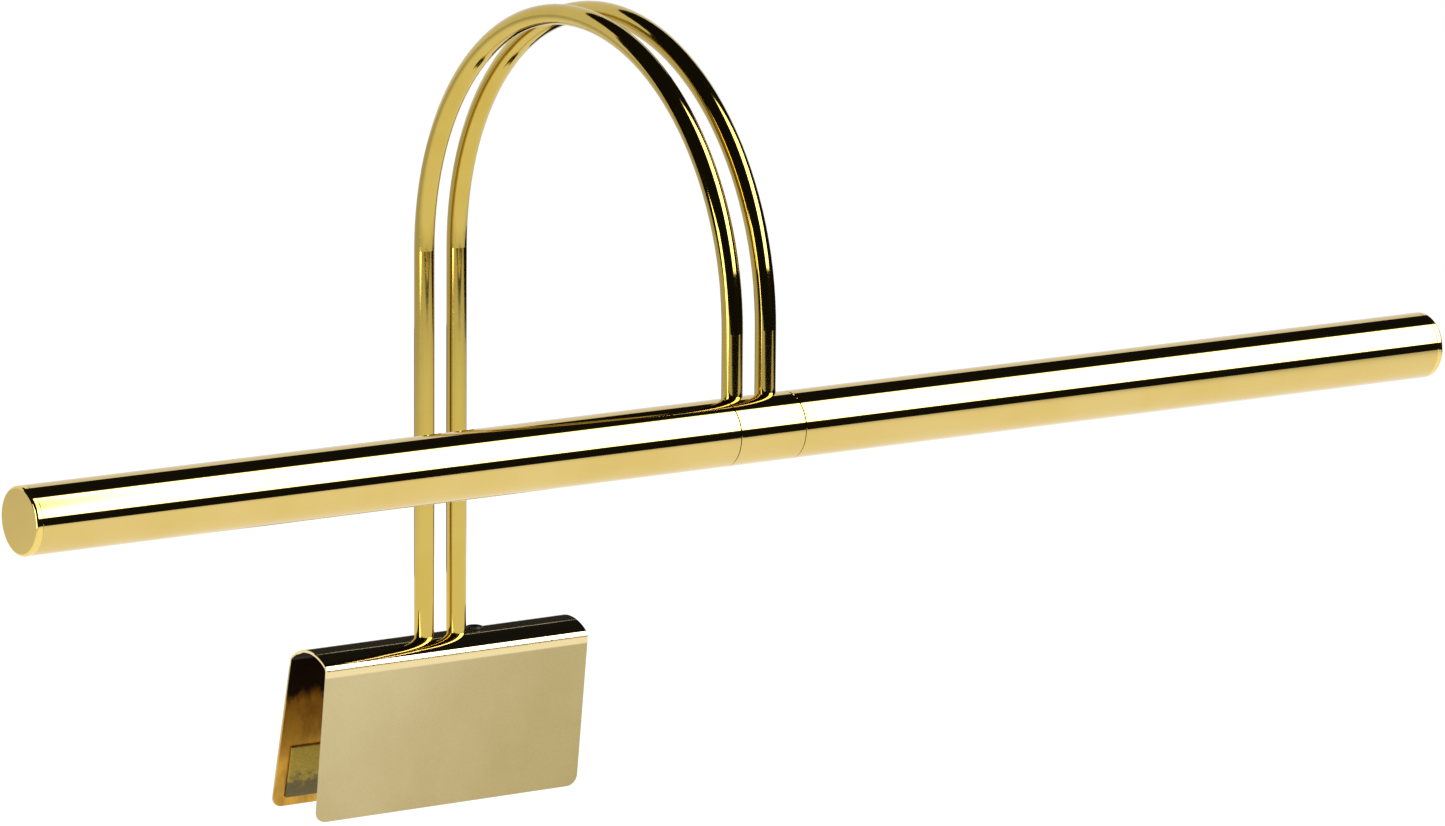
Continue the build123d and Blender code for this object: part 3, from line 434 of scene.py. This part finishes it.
def mixed(tree, value, first, second):
    """A colour between two colours or sockets, by a value from 0 to 1."""
    mix = tree.nodes.new("ShaderNodeMix")
    mix.data_type = "RGBA"
    link(tree, value, mix.inputs["Factor"])
    for name, colour in (("A", first), ("B", second)):
        if isinstance(colour, tuple):
            mix.inputs[name].default_value = (*colour, 1)
        else:
            link(tree, colour, mix.inputs[name])
    return mix.outputs["Result"]


def tone(tree, shader, value, first, second):
    """Colours a surface between two tones as the value runs from 0 to 1."""
    link(tree, mixed(tree, value, first, second), shader.inputs["Base Color"])


def coat(shader, weight, roughness):
    """A clear layer over the surface, such as lacquer or glaze."""
    shader.inputs["Coat Weight"].default_value = weight
    shader.inputs["Coat Roughness"].default_value = roughness


def relief(tree, shader, value, height):
    """Raises the surface by up to height, in metres, as the value runs from 0 to 1."""
    bump = tree.nodes.new("ShaderNodeBump")
    bump.inputs["Strength"].default_value = 1.0
    bump.inputs["Distance"].default_value = height
    link(tree, value, bump.inputs["Height"])
    tree.links.new(bump.outputs["Normal"], shader.inputs["Normal"])


# %% [markdown]
# ## Brass
# All the outside metal is brass that was polished and then lacquered. The bar was polished
# lengthwise on a wheel, so its fine lines and rub marks run along it; the bent tubes were
# buffed by hand, have no direction and are a deeper gold. The spun end caps are paler. The
# lacquer is a thin clear coat. A slow change of tone stands for handling and slight tarnish.

# %% Polished brass
BRASS = (0.745, 0.560, 0.195)
BRASS_DEEP = (0.715, 0.520, 0.155)
ARM_BRASS = (0.640, 0.475, 0.110)
ARM_DEEP = (0.600, 0.430, 0.080)
CAP_BRASS = (0.930, 0.700, 0.215)
CAP_DEEP = (0.880, 0.640, 0.180)
LACQUER = 0.12
LACQUER_ROUGHNESS = 0.04
TARNISH_SPOTS = 22  # per metre, as are all spots below
RUB_SPOTS = 500
SMEAR_SPOTS = 60
RUB_ROUGHNESS = 0.020
SMEAR_ROUGHNESS = 0.040
RUB_DEPTH = 0.10e-6
LENGTHWISE = (0.02, 1, 1)


def polished_brass(name, bright=BRASS, deep=BRASS_DEEP, along=(1, 1, 1), roughness=0.035):
    material, tree, shader = finish(name, roughness, metallic=1.0)
    coat(shader, LACQUER, LACQUER_ROUGHNESS)
    tarnish = grain(tree, TARNISH_SPOTS, detail=3.0)
    tone(tree, shader, ramp(tree, tarnish, 0.35, 0.75), bright, deep)
    rubs = grain(tree, RUB_SPOTS, stretch=along, detail=3.0, roughness=0.6)
    smears = grain(tree, SMEAR_SPOTS, detail=6.0, roughness=0.65)
    rubbed = ramp(tree, rubs, 0.35, 0.8, 0.0, RUB_ROUGHNESS)
    smeared = ramp(tree, smears, 0.5, 0.8, 0.0, SMEAR_ROUGHNESS)
    worn = calculate(tree, "ADD", calculate(tree, "ADD", rubbed, smeared), roughness)
    link(tree, worn, shader.inputs["Roughness"])
    relief(tree, shader, rubs, RUB_DEPTH)
    return material


bar_brass = polished_brass("bar_brass", along=LENGTHWISE)
arm_brass = polished_brass("arm_brass", ARM_BRASS, ARM_DEEP, roughness=0.06)
cap_brass = polished_brass("cap_brass", CAP_BRASS, CAP_DEEP, roughness=0.05)
print("brass finishes", bar_brass.name, arm_brass.name, cap_brass.name)

# %% [markdown]
# ## The clip's finishes
# The clip is one folded sheet with three surfaces: satin legs, a polished crown, and an
# inside that never met a wheel. They are one finish, divided by place, because the sheet is
# one piece. Satin starts at a height below the fold. A point is on the inside where its
# surface faces the middle of the gap between the legs, which leans as they do.

# %% Clip brass
SATIN_BRASS = (0.660, 0.545, 0.290)
SATIN_DEEP = (0.455, 0.365, 0.150)
# Painted highlight: a paler brass for the polished fold and crown.
FOLD_HIGHLIGHT_BRASS = (0.880, 0.720, 0.380)
DULL_BRASS = (0.700, 0.390, 0.055)
DULL_DEEP = (0.430, 0.230, 0.035)
# Painted shade: the black that the inside turns up under the crown.
CROWN_SHADE_BLACK = (0.030, 0.018, 0.012)
SATIN_ROUGHNESS = 0.33
CROWN_ROUGHNESS = 0.05
FOLD_ROUGHNESS = 0.22
DULL_ROUGHNESS = 0.38
FOLD_STARTS = clip_high.z - 4.0 * MM
FOLD_ENDS = clip_high.z - 5.6 * MM
POLISH_ENDS = clip_high.z - 8.4 * MM
SATIN_STARTS = clip_high.z - 9.2 * MM
LEG_TOP = clip_high.z - 5.1 * MM
# Heights where the painted shade under the crown starts and is full:
CROWN_SHADE_STARTS = clip_high.z - 25.0 * MM
CROWN_SHADE_FULL = clip_high.z - 19.0 * MM
GAP_LEAN = 0.18
FACING_IN = -0.3
CLIP_LACQUER = 0.06
CLIP_LACQUER_ROUGHNESS = 0.2
SATIN_SPOTS = 2600
CLOUD_SPOTS = 30
STAIN_SPOTS = 140
# The end and foot amounts are painted shade on the legs; the cloud is the lacquer's own tone.
PAINTED_END_SHADE = 0.5
PAINTED_FOOT_SHADE = 0.3
CLOUD_AGEING = 0.2
SPECKLE = 0.12
RAGGED_EDGE = 2 * MM
SATIN_SPREAD = (0.04, 0.05)
SATIN_DEPTH = 6e-6

clip_brass, tree, shader = finish("clip_brass", SATIN_ROUGHNESS, metallic=1.0)
coat(shader, CLIP_LACQUER, CLIP_LACQUER_ROUGHNESS)
place = axes_of(tree)
facing = axes_of(tree, "Normal")["Y"]
fallen = calculate(tree, "SUBTRACT", LEG_TOP, place["Z"])
middle = calculate(tree, "MULTIPLY", calculate(tree, "MAXIMUM", fallen, 0.0), GAP_LEAN)
off_middle = calculate(tree, "SUBTRACT", place["Y"], middle)
outward = calculate(tree, "MULTIPLY", calculate(tree, "SIGN", off_middle), facing)
inside = calculate(tree, "LESS_THAN", outward, FACING_IN)
satin = ramp(tree, place["Z"], SATIN_STARTS, POLISH_ENDS, 1.0, 0.0)
even_grain = grain(tree, SATIN_SPOTS, detail=3.0, roughness=0.6)

# %% [markdown]
# ## The clip's colours
# Painted shade darkens the satin legs toward one lower corner, and their lacquer varies in a
# slow cloud with a fine speckle. A painted highlight gives the fold a pale strip of brass.
# The inside is golden brown, and painted shade turns it black up under the crown; the border
# between the two is ragged.

# %% Clip colours
# Painted shade: the legs are made darker toward one end and toward the foot.
shade_toward_end = ramp(tree, place["X"], clip_low.x, clip_high.x, 0.0, PAINTED_END_SHADE)
shade_toward_foot = ramp(tree, place["Z"], clip_high.z, clip_low.z, 0.0, PAINTED_FOOT_SHADE)
speckle = ramp(tree, even_grain, 0.25, 0.75, -SPECKLE, SPECKLE)
cloudy = ramp(tree, grain(tree, CLOUD_SPOTS, detail=4.0), 0.3, 0.7, 0.0, CLOUD_AGEING)
painted_shade_by_place = calculate(tree, "ADD", shade_toward_end, shade_toward_foot)
by_chance = calculate(tree, "ADD", speckle, cloudy)
shade_and_mottle = calculate(tree, "ADD", painted_shade_by_place, by_chance)
leg_tone = mixed(tree, shade_and_mottle, SATIN_BRASS, SATIN_DEEP)
# Painted highlight: the polished fold and crown take the paler brass, the satin legs their own
# tone.
outside_tone = mixed(tree, satin, FOLD_HIGHLIGHT_BRASS, leg_tone)
stain = grain(tree, STAIN_SPOTS, stretch=(1, 1, 0.4), detail=6.0, roughness=0.65)
brown = mixed(tree, ramp(tree, stain, 0.35, 0.7), DULL_BRASS, DULL_DEEP)
edge_shift = ramp(tree, stain, 0.3, 0.7, -RAGGED_EDGE, RAGGED_EDGE)
ragged = calculate(tree, "ADD", place["Z"], edge_shift)
# Painted shade: black up under the crown, with a ragged lower border.
crown_shade = ramp(tree, ragged, CROWN_SHADE_STARTS, CROWN_SHADE_FULL)
inside_tone = mixed(tree, crown_shade, brown, CROWN_SHADE_BLACK)
link(tree, mixed(tree, inside, outside_tone, inside_tone), shader.inputs["Base Color"])

# %% [markdown]
# ## The clip's roughness
# The satin grain blurs what the legs reflect. From the fold up the metal is smoother and
# smoother, until the crown is a mirror. The dull inside has one even roughness.

# %% Clip roughness
smoothest = SATIN_ROUGHNESS - SATIN_SPREAD[0]
roughest = SATIN_ROUGHNESS + SATIN_SPREAD[1]
grained = ramp(tree, even_grain, 0.3, 0.7, smoothest, roughest)
fold = ramp(tree, place["Z"], FOLD_ENDS, FOLD_STARTS, FOLD_ROUGHNESS, CROWN_ROUGHNESS)
outside_rough = ramp(tree, satin, 0.0, 1.0, fold, grained, smooth=False)
rough = ramp(tree, inside, 0.0, 1.0, outside_rough, DULL_ROUGHNESS, smooth=False)
link(tree, rough, shader.inputs["Roughness"])
relief(tree, shader, calculate(tree, "MULTIPLY", even_grain, satin), SATIN_DEPTH)
print("satin from", SATIN_STARTS, "polished from", POLISH_ENDS)

# %% [markdown]
# ## The other metals
# Inside the bar and the crown the brass is bare and turned on a lathe, so it is duller and
# ringed. Screws are plated steel, the spring washers and rings are blued spring steel, and
# the lampholders' contact leaves are bronze. They share one recipe: two close tones, a
# roughness that wanders, and fine machining lines across one direction.

# %% Metals
ACROSS_BAR = (6, 0.4, 0.4)
ALONG_BAR = (0.03, 1, 1)
METAL_SPOTS = 90
MARK_SPOTS = 700
MARK_DEPTH = 1.5e-6
SOLDER_SPOTS = 1800
ROLLED_DEPTH = 0.8e-6


def wandering(tree, shader, value, low, high, roughness, smoother, rougher):
    """Roughness that runs from smoother to rougher shares of itself as the value rises."""
    spread = ramp(tree, value, low, high, smoother * roughness, rougher * roughness)
    link(tree, spread, shader.inputs["Roughness"])


def worked_metal(
    name, first, second, roughness, lines=(1, 1, 1), depth=MARK_DEPTH, scale=MARK_SPOTS
):
    material, tree, shader = finish(name, roughness, metallic=1.0)
    spots = grain(tree, METAL_SPOTS, detail=5.0)
    tone(tree, shader, ramp(tree, spots, 0.35, 0.7), first, second)
    marks = grain(tree, scale, stretch=lines, detail=4.0, roughness=0.7)
    wandering(tree, shader, marks, 0.3, 0.75, roughness, 0.8, 1.3)
    relief(tree, shader, marks, depth)
    return material


finishes = {
    "polished_brass": bar_brass,
    "hidden_brass": worked_metal(
        "bare_brass", (0.66, 0.47, 0.17), (0.52, 0.34, 0.10), 0.28, ACROSS_BAR
    ),
    "steel": worked_metal("plated_steel", (0.62, 0.62, 0.60), (0.50, 0.50, 0.47), 0.24),
    "spring_steel": worked_metal(
        "blued_spring", (0.20, 0.19, 0.19), (0.12, 0.12, 0.14), 0.30, ACROSS_BAR
    ),
    "bronze_leaf": worked_metal(
        "bronze_leaf_finish", (0.62, 0.40, 0.22), (0.48, 0.27, 0.13), 0.26
    ),
    "solder": worked_metal(
        "solder_finish", (0.58, 0.57, 0.55), (0.42, 0.42, 0.41), 0.36, scale=SOLDER_SPOTS
    ),
    "tungsten": worked_metal("tungsten_finish", (0.34, 0.34, 0.35), (0.22, 0.22, 0.23), 0.38),
    "nickel_wire": worked_metal(
        "nickel_finish", (0.60, 0.57, 0.52), (0.48, 0.45, 0.41), 0.25, ALONG_BAR
    ),
    "reflector_aluminium": worked_metal(
        "bright_aluminium",
        (0.90, 0.90, 0.90),
        (0.80, 0.81, 0.82),
        0.16,
        ALONG_BAR,
        depth=ROLLED_DEPTH,
    ),
}
print("metal finishes", len(finishes))

# %% [markdown]
# ## Moulded and glazed pieces
# The junction block is brown phenolic with a cloudy flow pattern. The cord bushing and the
# wires are plastic, the lampholders are glazed porcelain with fine specks under a glossy
# coat, and the lamp's base has a black glass insulator. They share one recipe too: a cloudy
# tone under a fine skin.

# %% Plastics and ceramics
GLAZE = 0.8
GLAZE_ROUGHNESS = 0.06
FLOW_SPOTS = 160
SPECK_SPOTS = 700
SKIN_SPOTS = 1500
SKIN_DEPTH = 4e-6
GLAZED_DEPTH = 1e-6


def moulded(name, first, second, roughness, scale=FLOW_SPOTS, depth=SKIN_DEPTH, glaze=0.0):
    material, tree, shader = finish(name, roughness)
    coat(shader, glaze, GLAZE_ROUGHNESS)
    cloud = grain(tree, scale, detail=6.0, roughness=0.6)
    tone(tree, shader, ramp(tree, cloud, 0.4, 0.65), first, second)
    skin = grain(tree, SKIN_SPOTS, detail=3.0)
    wandering(tree, shader, skin, 0.3, 0.7, roughness, 0.85, 1.2)
    relief(tree, shader, skin, depth)
    return material


finishes["phenolic"] = moulded(
    "brown_phenolic", (0.060, 0.026, 0.012), (0.105, 0.050, 0.022), 0.34
)
finishes["bushing_plastic"] = moulded(
    "black_nylon", (0.012, 0.012, 0.012), (0.020, 0.019, 0.018), 0.38
)
finishes["porcelain"] = moulded(
    "glazed_porcelain",
    (0.83, 0.82, 0.78),
    (0.76, 0.74, 0.69),
    0.30,
    scale=SPECK_SPOTS,
    depth=GLAZED_DEPTH,
    glaze=GLAZE,
)
finishes["insulator_glass"] = moulded(
    "black_glass", (0.015, 0.013, 0.020), (0.03, 0.026, 0.036), 0.12
)
finishes["wire_insulation"] = moulded(
    "wire_sleeve", (0.70, 0.69, 0.66), (0.60, 0.58, 0.54), 0.42
)

# %% [markdown]
# ## Bulb glass
# The bulbs are clear soda glass, so the filament can be seen through them. The glass was
# drawn into a tube before it was cut, which leaves faint ripples along its length.

# %% Bulb glass
GLASS_INDEX = 1.51
RIPPLE_SPOTS = 260
RIPPLE_ROUGHNESS = 0.03
RIPPLE_DEPTH = 6e-6
clear_glass, tree, shader = finish("clear_glass", 0.01)
shader.inputs["Transmission Weight"].default_value = 1.0
shader.inputs["IOR"].default_value = GLASS_INDEX
drawn = grain(tree, RIPPLE_SPOTS, stretch=ALONG_BAR, detail=2.0)
tone(tree, shader, drawn, (0.985, 0.995, 0.99), (1.0, 1.0, 1.0))
link(tree, ramp(tree, drawn, 0.3, 0.7, 0.0, RIPPLE_ROUGHNESS), shader.inputs["Roughness"])
relief(tree, shader, drawn, RIPPLE_DEPTH)
finishes["lamp_glass"] = clear_glass
print("finishes so far", len(finishes))

# %% [markdown]
# ## Felt
# The liners and the seat pad are mustard wool felt, which keeps the clip from marking the
# panel it grips. Felt has no weave: it is a mat of short fibres, a little lighter where the
# nap stands up, with a soft sheen at a glancing angle. The liners are made darker grey
# toward their lower edges, in patches.

# %% Felt finish
FELT = (0.440, 0.310, 0.025)
FELT_NAP = (0.640, 0.480, 0.060)
FELT_LOW_GREY = (0.110, 0.095, 0.045)
# The liners turn darker grey toward their lower edges, in patches.
GREY_TOP = clip_low.z + 14.0 * MM
GREY_FULL = clip_low.z + 9.0 * MM
LOW_GREYING = 0.85
PATCH_SPOTS = 260
PATCH_EDGE = 3 * MM
FIBRE_SPOTS = 2400
CROSSING_SPOTS = 2100
FIBRE_DEPTH = 0.12 * MM
FELT_SHEEN = 0.35
FELT_SHEEN_ROUGHNESS = 0.5

felt_finish, tree, shader = finish("wool_felt", 0.95)
shader.inputs["Sheen Weight"].default_value = FELT_SHEEN
shader.inputs["Sheen Roughness"].default_value = FELT_SHEEN_ROUGHNESS
fibres = grain(tree, FIBRE_SPOTS, stretch=(1, 0.35, 1), detail=6.0, roughness=0.75)
crossing = grain(tree, CROSSING_SPOTS, stretch=(0.3, 1, 0.8), detail=6.0, roughness=0.75)
mat = calculate(tree, "MULTIPLY", calculate(tree, "ADD", fibres, crossing), 0.5)
clean_felt = mixed(tree, ramp(tree, mat, 0.38, 0.62), FELT, FELT_NAP)
# Darker grey toward the liners' lower edges, with a patchy border.
patches = grain(tree, PATCH_SPOTS, detail=5.0)
edge_shift = ramp(tree, patches, 0.3, 0.7, -PATCH_EDGE, PATCH_EDGE)
height = calculate(tree, "ADD", axes_of(tree)["Z"], edge_shift)
greyed_low = ramp(tree, height, GREY_FULL, GREY_TOP, LOW_GREYING, 0.0)
tone(tree, shader, greyed_low, clean_felt, FELT_LOW_GREY)
relief(tree, shader, mat, FIBRE_DEPTH)
finishes["felt"] = felt_finish

# %% [markdown]
# ## Putting the finishes on
# Every engineering piece came with a plain stand-in material that is named after what it is
# made of. Each stand-in is exchanged for the finish of that name. The arms, the end caps and
# the clip then get their own kinds of brass.

# %% Put the finishes on
for node in nodes.values():
    for holder in node.material_slots:
        holder.material = finishes[holder.material.name]
for name in ("arm_left", "arm_right"):
    nodes[name].material_slots[0].material = arm_brass
for name in ("end_cap_left", "end_cap_right"):
    nodes[name].material_slots[0].material = cap_brass
nodes["clip_saddle"].material_slots[0].material = clip_brass
print("finishes", sorted(finishes))

# %% [markdown]
# ## Tools for modelling
# The soft and fine pieces are modelled here, because felt and coiled wire need more shape
# than the engineering solids give. Each starts as a simple shape and is worked in edit mode.
# An operator acts on whatever is selected, so the edges it should work on are chosen in code
# first, by their place.

# %% Modelling helpers
SMOOTH_BELOW = math.radians(60)
LUMP_SIZE = 1.1 * MM


def edit(mode):
    bpy.ops.object.mode_set(mode="EDIT")
    bpy.ops.mesh.select_mode(type=mode)


def leave_edit():
    bpy.ops.object.mode_set(mode="OBJECT")


def choose_edges(piece, wanted):
    """Selects only the edges for which wanted(first point, second point) is true."""
    edit("EDGE")
    bpy.ops.mesh.select_all(action="DESELECT")
    leave_edit()
    points = piece.data.vertices
    for edge in piece.data.edges:
        first, second = (points[i].co for i in edge.vertices)
        edge.select = wanted(first, second)
    edit("EDGE")


def lumps(piece, size, height):
    """Pushes the surface in and out by up to half of height, in soft clouds of a size."""
    clouds = bpy.data.textures.new(piece.name + "_clouds", type="CLOUDS")
    clouds.noise_scale = size
    clouds.noise_depth = 3
    push = piece.modifiers.new("lumps", "DISPLACE")
    push.texture = clouds
    push.strength = height
    push.mid_level = 0.5
    bpy.ops.object.modifier_apply(modifier=push.name)


def block(name, centre, across, through, along):
    """A block at its size and place, from its three side vectors."""
    deselect_everything()
    bpy.ops.mesh.primitive_cube_add(size=1.0)
    piece = bpy.context.active_object
    piece.name = name
    shape = Matrix((across, through, along)).transposed().to_4x4()
    shape.translation = centre
    piece.data.transform(shape)
    return piece


def finish_piece(piece, body, material):
    """Gives a piece its finish and the body that it rides on."""
    piece.data.materials.clear()
    piece.data.materials.append(material)
    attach(piece, body)
    print(piece.name, "faces", len(piece.data.polygons))


# %% [markdown]
# ## Felt liners
# Each liner is a strip cut with a knife and glued to the inside of a leg. It starts as a
# block that fills the strip's own space in the frame, turned to the leg's slope. Its edges
# are rounded by a bevel, the broad faces are cut into squares of a millimetre, and two
# displace modifiers give the soft lumps of pressed wool. It is a little smaller than its
# space, so the lumps never reach the metal.

# %% Felt liners
FELT_LENGTH_SHARE = 0.996
FELT_SHRINK = 0.90
FELT_HEIGHT_SHARE = 0.98
FELT_EDGE = 0.25 * MM
EDGE_STEPS = 3
LENGTH_CUTS = 111
HEIGHT_CUTS = 21
LINER_LUMPS = 0.06 * MM
WAVE_SIZE = 7 * MM
WAVE_HEIGHT = 0.05 * MM


def strip_sides(node):
    """Centre and side vectors of a straight strip in the frame: across, through and along it."""
    low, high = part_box(node)
    section = {(round(v.co.y, 6), round(v.co.z, 6)) for v in nodes[node].data.vertices}
    by_height = sorted(section, key=lambda point: point[1])
    lower, upper = sorted(by_height[:2]), sorted(by_height[-2:])
    through = Vector((0, upper[1][0] - upper[0][0], upper[1][1] - upper[0][1]))
    along = Vector((0, upper[0][0] - lower[0][0], upper[0][1] - lower[0][1]))
    return (low + high) / 2, Vector((high.x - low.x, 0, 0)), through, along


def felt_strip(name, node):
    centre, across, through, along = strip_sides(node)
    length = across * FELT_LENGTH_SHARE
    piece = block(name, centre, length, through * FELT_SHRINK, along * FELT_HEIGHT_SHARE)
    edit("EDGE")
    bpy.ops.mesh.bevel(offset=FELT_EDGE, segments=EDGE_STEPS)
    leave_edit()
    choose_edges(piece, lambda a, b: abs(a.x - b.x) > across.length / 2)
    bpy.ops.mesh.subdivide(number_cuts=LENGTH_CUTS)
    leave_edit()
    choose_edges(piece, lambda a, b: abs(a.z - b.z) > along.length / 2)
    bpy.ops.mesh.subdivide(number_cuts=HEIGHT_CUTS)
    leave_edit()
    lumps(piece, LUMP_SIZE, LINER_LUMPS)
    lumps(piece, WAVE_SIZE, WAVE_HEIGHT)
    bpy.ops.object.shade_smooth_by_angle(angle=SMOOTH_BELOW)
    finish_piece(piece, "stand", felt_finish)
    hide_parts(node)


felt_strip("felt_liner_front", "clip_liner_front")
felt_strip("felt_liner_rear", "clip_liner_rear")

# %% [markdown]
# ## The seat pad
# The pad rests on the panel's top edge and carries the lamp's weight. It is the same felt,
# thicker, with round corners: the four upright edges are bevelled first, then the rim.

# %% Seat pad
PAD_SHARES = (0.996, 0.99, 0.95)
PAD_CORNER = 1.5 * MM
PAD_CORNER_STEPS = 6
PAD_RIM = 0.3 * MM
PAD_CUTS = 14
PAD_LUMPS = 0.05 * MM

pad_low, pad_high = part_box("seat_pad")
pad_size = pad_high - pad_low
seat_felt = block(
    "felt_seat_pad",
    (pad_low + pad_high) / 2,
    Vector((pad_size.x * PAD_SHARES[0], 0, 0)),
    Vector((0, pad_size.y * PAD_SHARES[1], 0)),
    Vector((0, 0, pad_size.z * PAD_SHARES[2])),
)
choose_edges(seat_felt, lambda a, b: abs(a.z - b.z) > pad_size.z / 2)
bpy.ops.mesh.bevel(offset=PAD_CORNER, segments=PAD_CORNER_STEPS)
leave_edit()
choose_edges(seat_felt, lambda a, b: abs(a.z - b.z) < pad_size.z / 10)
bpy.ops.mesh.bevel(offset=PAD_RIM, segments=EDGE_STEPS)
bpy.ops.mesh.select_all(action="SELECT")
bpy.ops.mesh.subdivide(number_cuts=PAD_CUTS)
leave_edit()
lumps(seat_felt, LUMP_SIZE, PAD_LUMPS)
bpy.ops.object.shade_smooth_by_angle(angle=SMOOTH_BELOW)
finish_piece(seat_felt, "stand", felt_finish)
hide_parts("seat_pad")

# %% [markdown]
# ## The filaments
# A tubular lamp of this kind has one long filament that goes out and comes back. It is a
# fine tungsten wire wound into a coil. One turn's section is drawn as a small ring, and a
# screw modifier winds it along the lamp. The coil is modelled once, copied for the way back,
# and a bent link joins the two at the far end.

# %% Filaments
COIL_RADIUS = 0.50 * MM
COIL_WIRE = 0.11 * MM
COIL_PITCH = 0.75 * MM
COIL_STEPS = 10
WIRE_SIDES = 6
LINK_STEPS = 16
SIDE_GAP = 0.25 * MM
WIRE_SMOOTH_BELOW = math.radians(40)


def wire_section(name, height, turned_about):
    """One section of the wire: a small ring, turned upright and moved to its height."""
    deselect_everything()
    bpy.ops.mesh.primitive_circle_add(vertices=WIRE_SIDES, radius=COIL_WIRE)
    piece = bpy.context.active_object
    piece.name = name
    upright = Matrix.Rotation(math.pi / 2, 4, turned_about)
    piece.data.transform(Matrix.Translation((0, 0, height)) @ upright)
    return piece


def close_wire_ends():
    bpy.ops.mesh.select_all(action="SELECT")
    bpy.ops.mesh.fill_holes(sides=WIRE_SIDES)
    bpy.ops.mesh.normals_make_consistent(inside=False)
    leave_edit()


def coil_mesh(name, length):
    """A closed coil along +X from the origin."""
    piece = wire_section(name, COIL_RADIUS, "X")
    winding = piece.modifiers.new("winding", "SCREW")
    winding.axis = "X"
    winding.steps = COIL_STEPS
    winding.render_steps = COIL_STEPS
    winding.screw_offset = COIL_PITCH
    winding.iterations = int(length / COIL_PITCH)
    bpy.ops.object.modifier_apply(modifier=winding.name)
    edit("EDGE")
    close_wire_ends()
    return piece


def link_mesh(name, radius):
    """Half a ring of wire in the XZ plane, open towards -X."""
    piece = wire_section(name, -radius, "Y")
    edit("EDGE")
    bpy.ops.mesh.select_all(action="SELECT")
    bpy.ops.mesh.spin(steps=LINK_STEPS, angle=-math.pi, center=(0, 0, 0), axis=(0, 1, 0))
    close_wire_ends()
    return piece


for side, label in ((-1, "left"), (1, "right")):
    node = "lamp_filament_" + label
    low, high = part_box(node)
    half_gap = (high.z - low.z) / 2 - SIDE_GAP
    start = min(abs(low.x), abs(high.x)) + COIL_WIRE
    end = max(abs(low.x), abs(high.x)) - half_gap
    out = coil_mesh("filament_" + label, end - start)
    back = out.copy()
    back.data = out.data.copy()
    bpy.context.scene.collection.objects.link(back)
    bend = link_mesh("coil_link", half_gap)
    turn = Matrix.Rotation(math.pi if side < 0 else 0.0, 4, "Z")
    for piece, x, z in ((out, start, -half_gap), (back, start, half_gap), (bend, end, 0.0)):
        piece.data.transform(turn @ Matrix.Translation((x, 0, z)))
        piece.data.transform(Matrix.Translation((0, bar_axis.y, bar_axis.z)))
    deselect_everything()
    for piece in (back, bend, out):
        piece.select_set(True)
    bpy.context.view_layer.objects.active = out
    bpy.ops.object.join()
    bpy.ops.object.shade_smooth_by_angle(angle=WIRE_SMOOTH_BELOW)
    finish_piece(out, "stand", finishes["tungsten"])
    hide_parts(node)
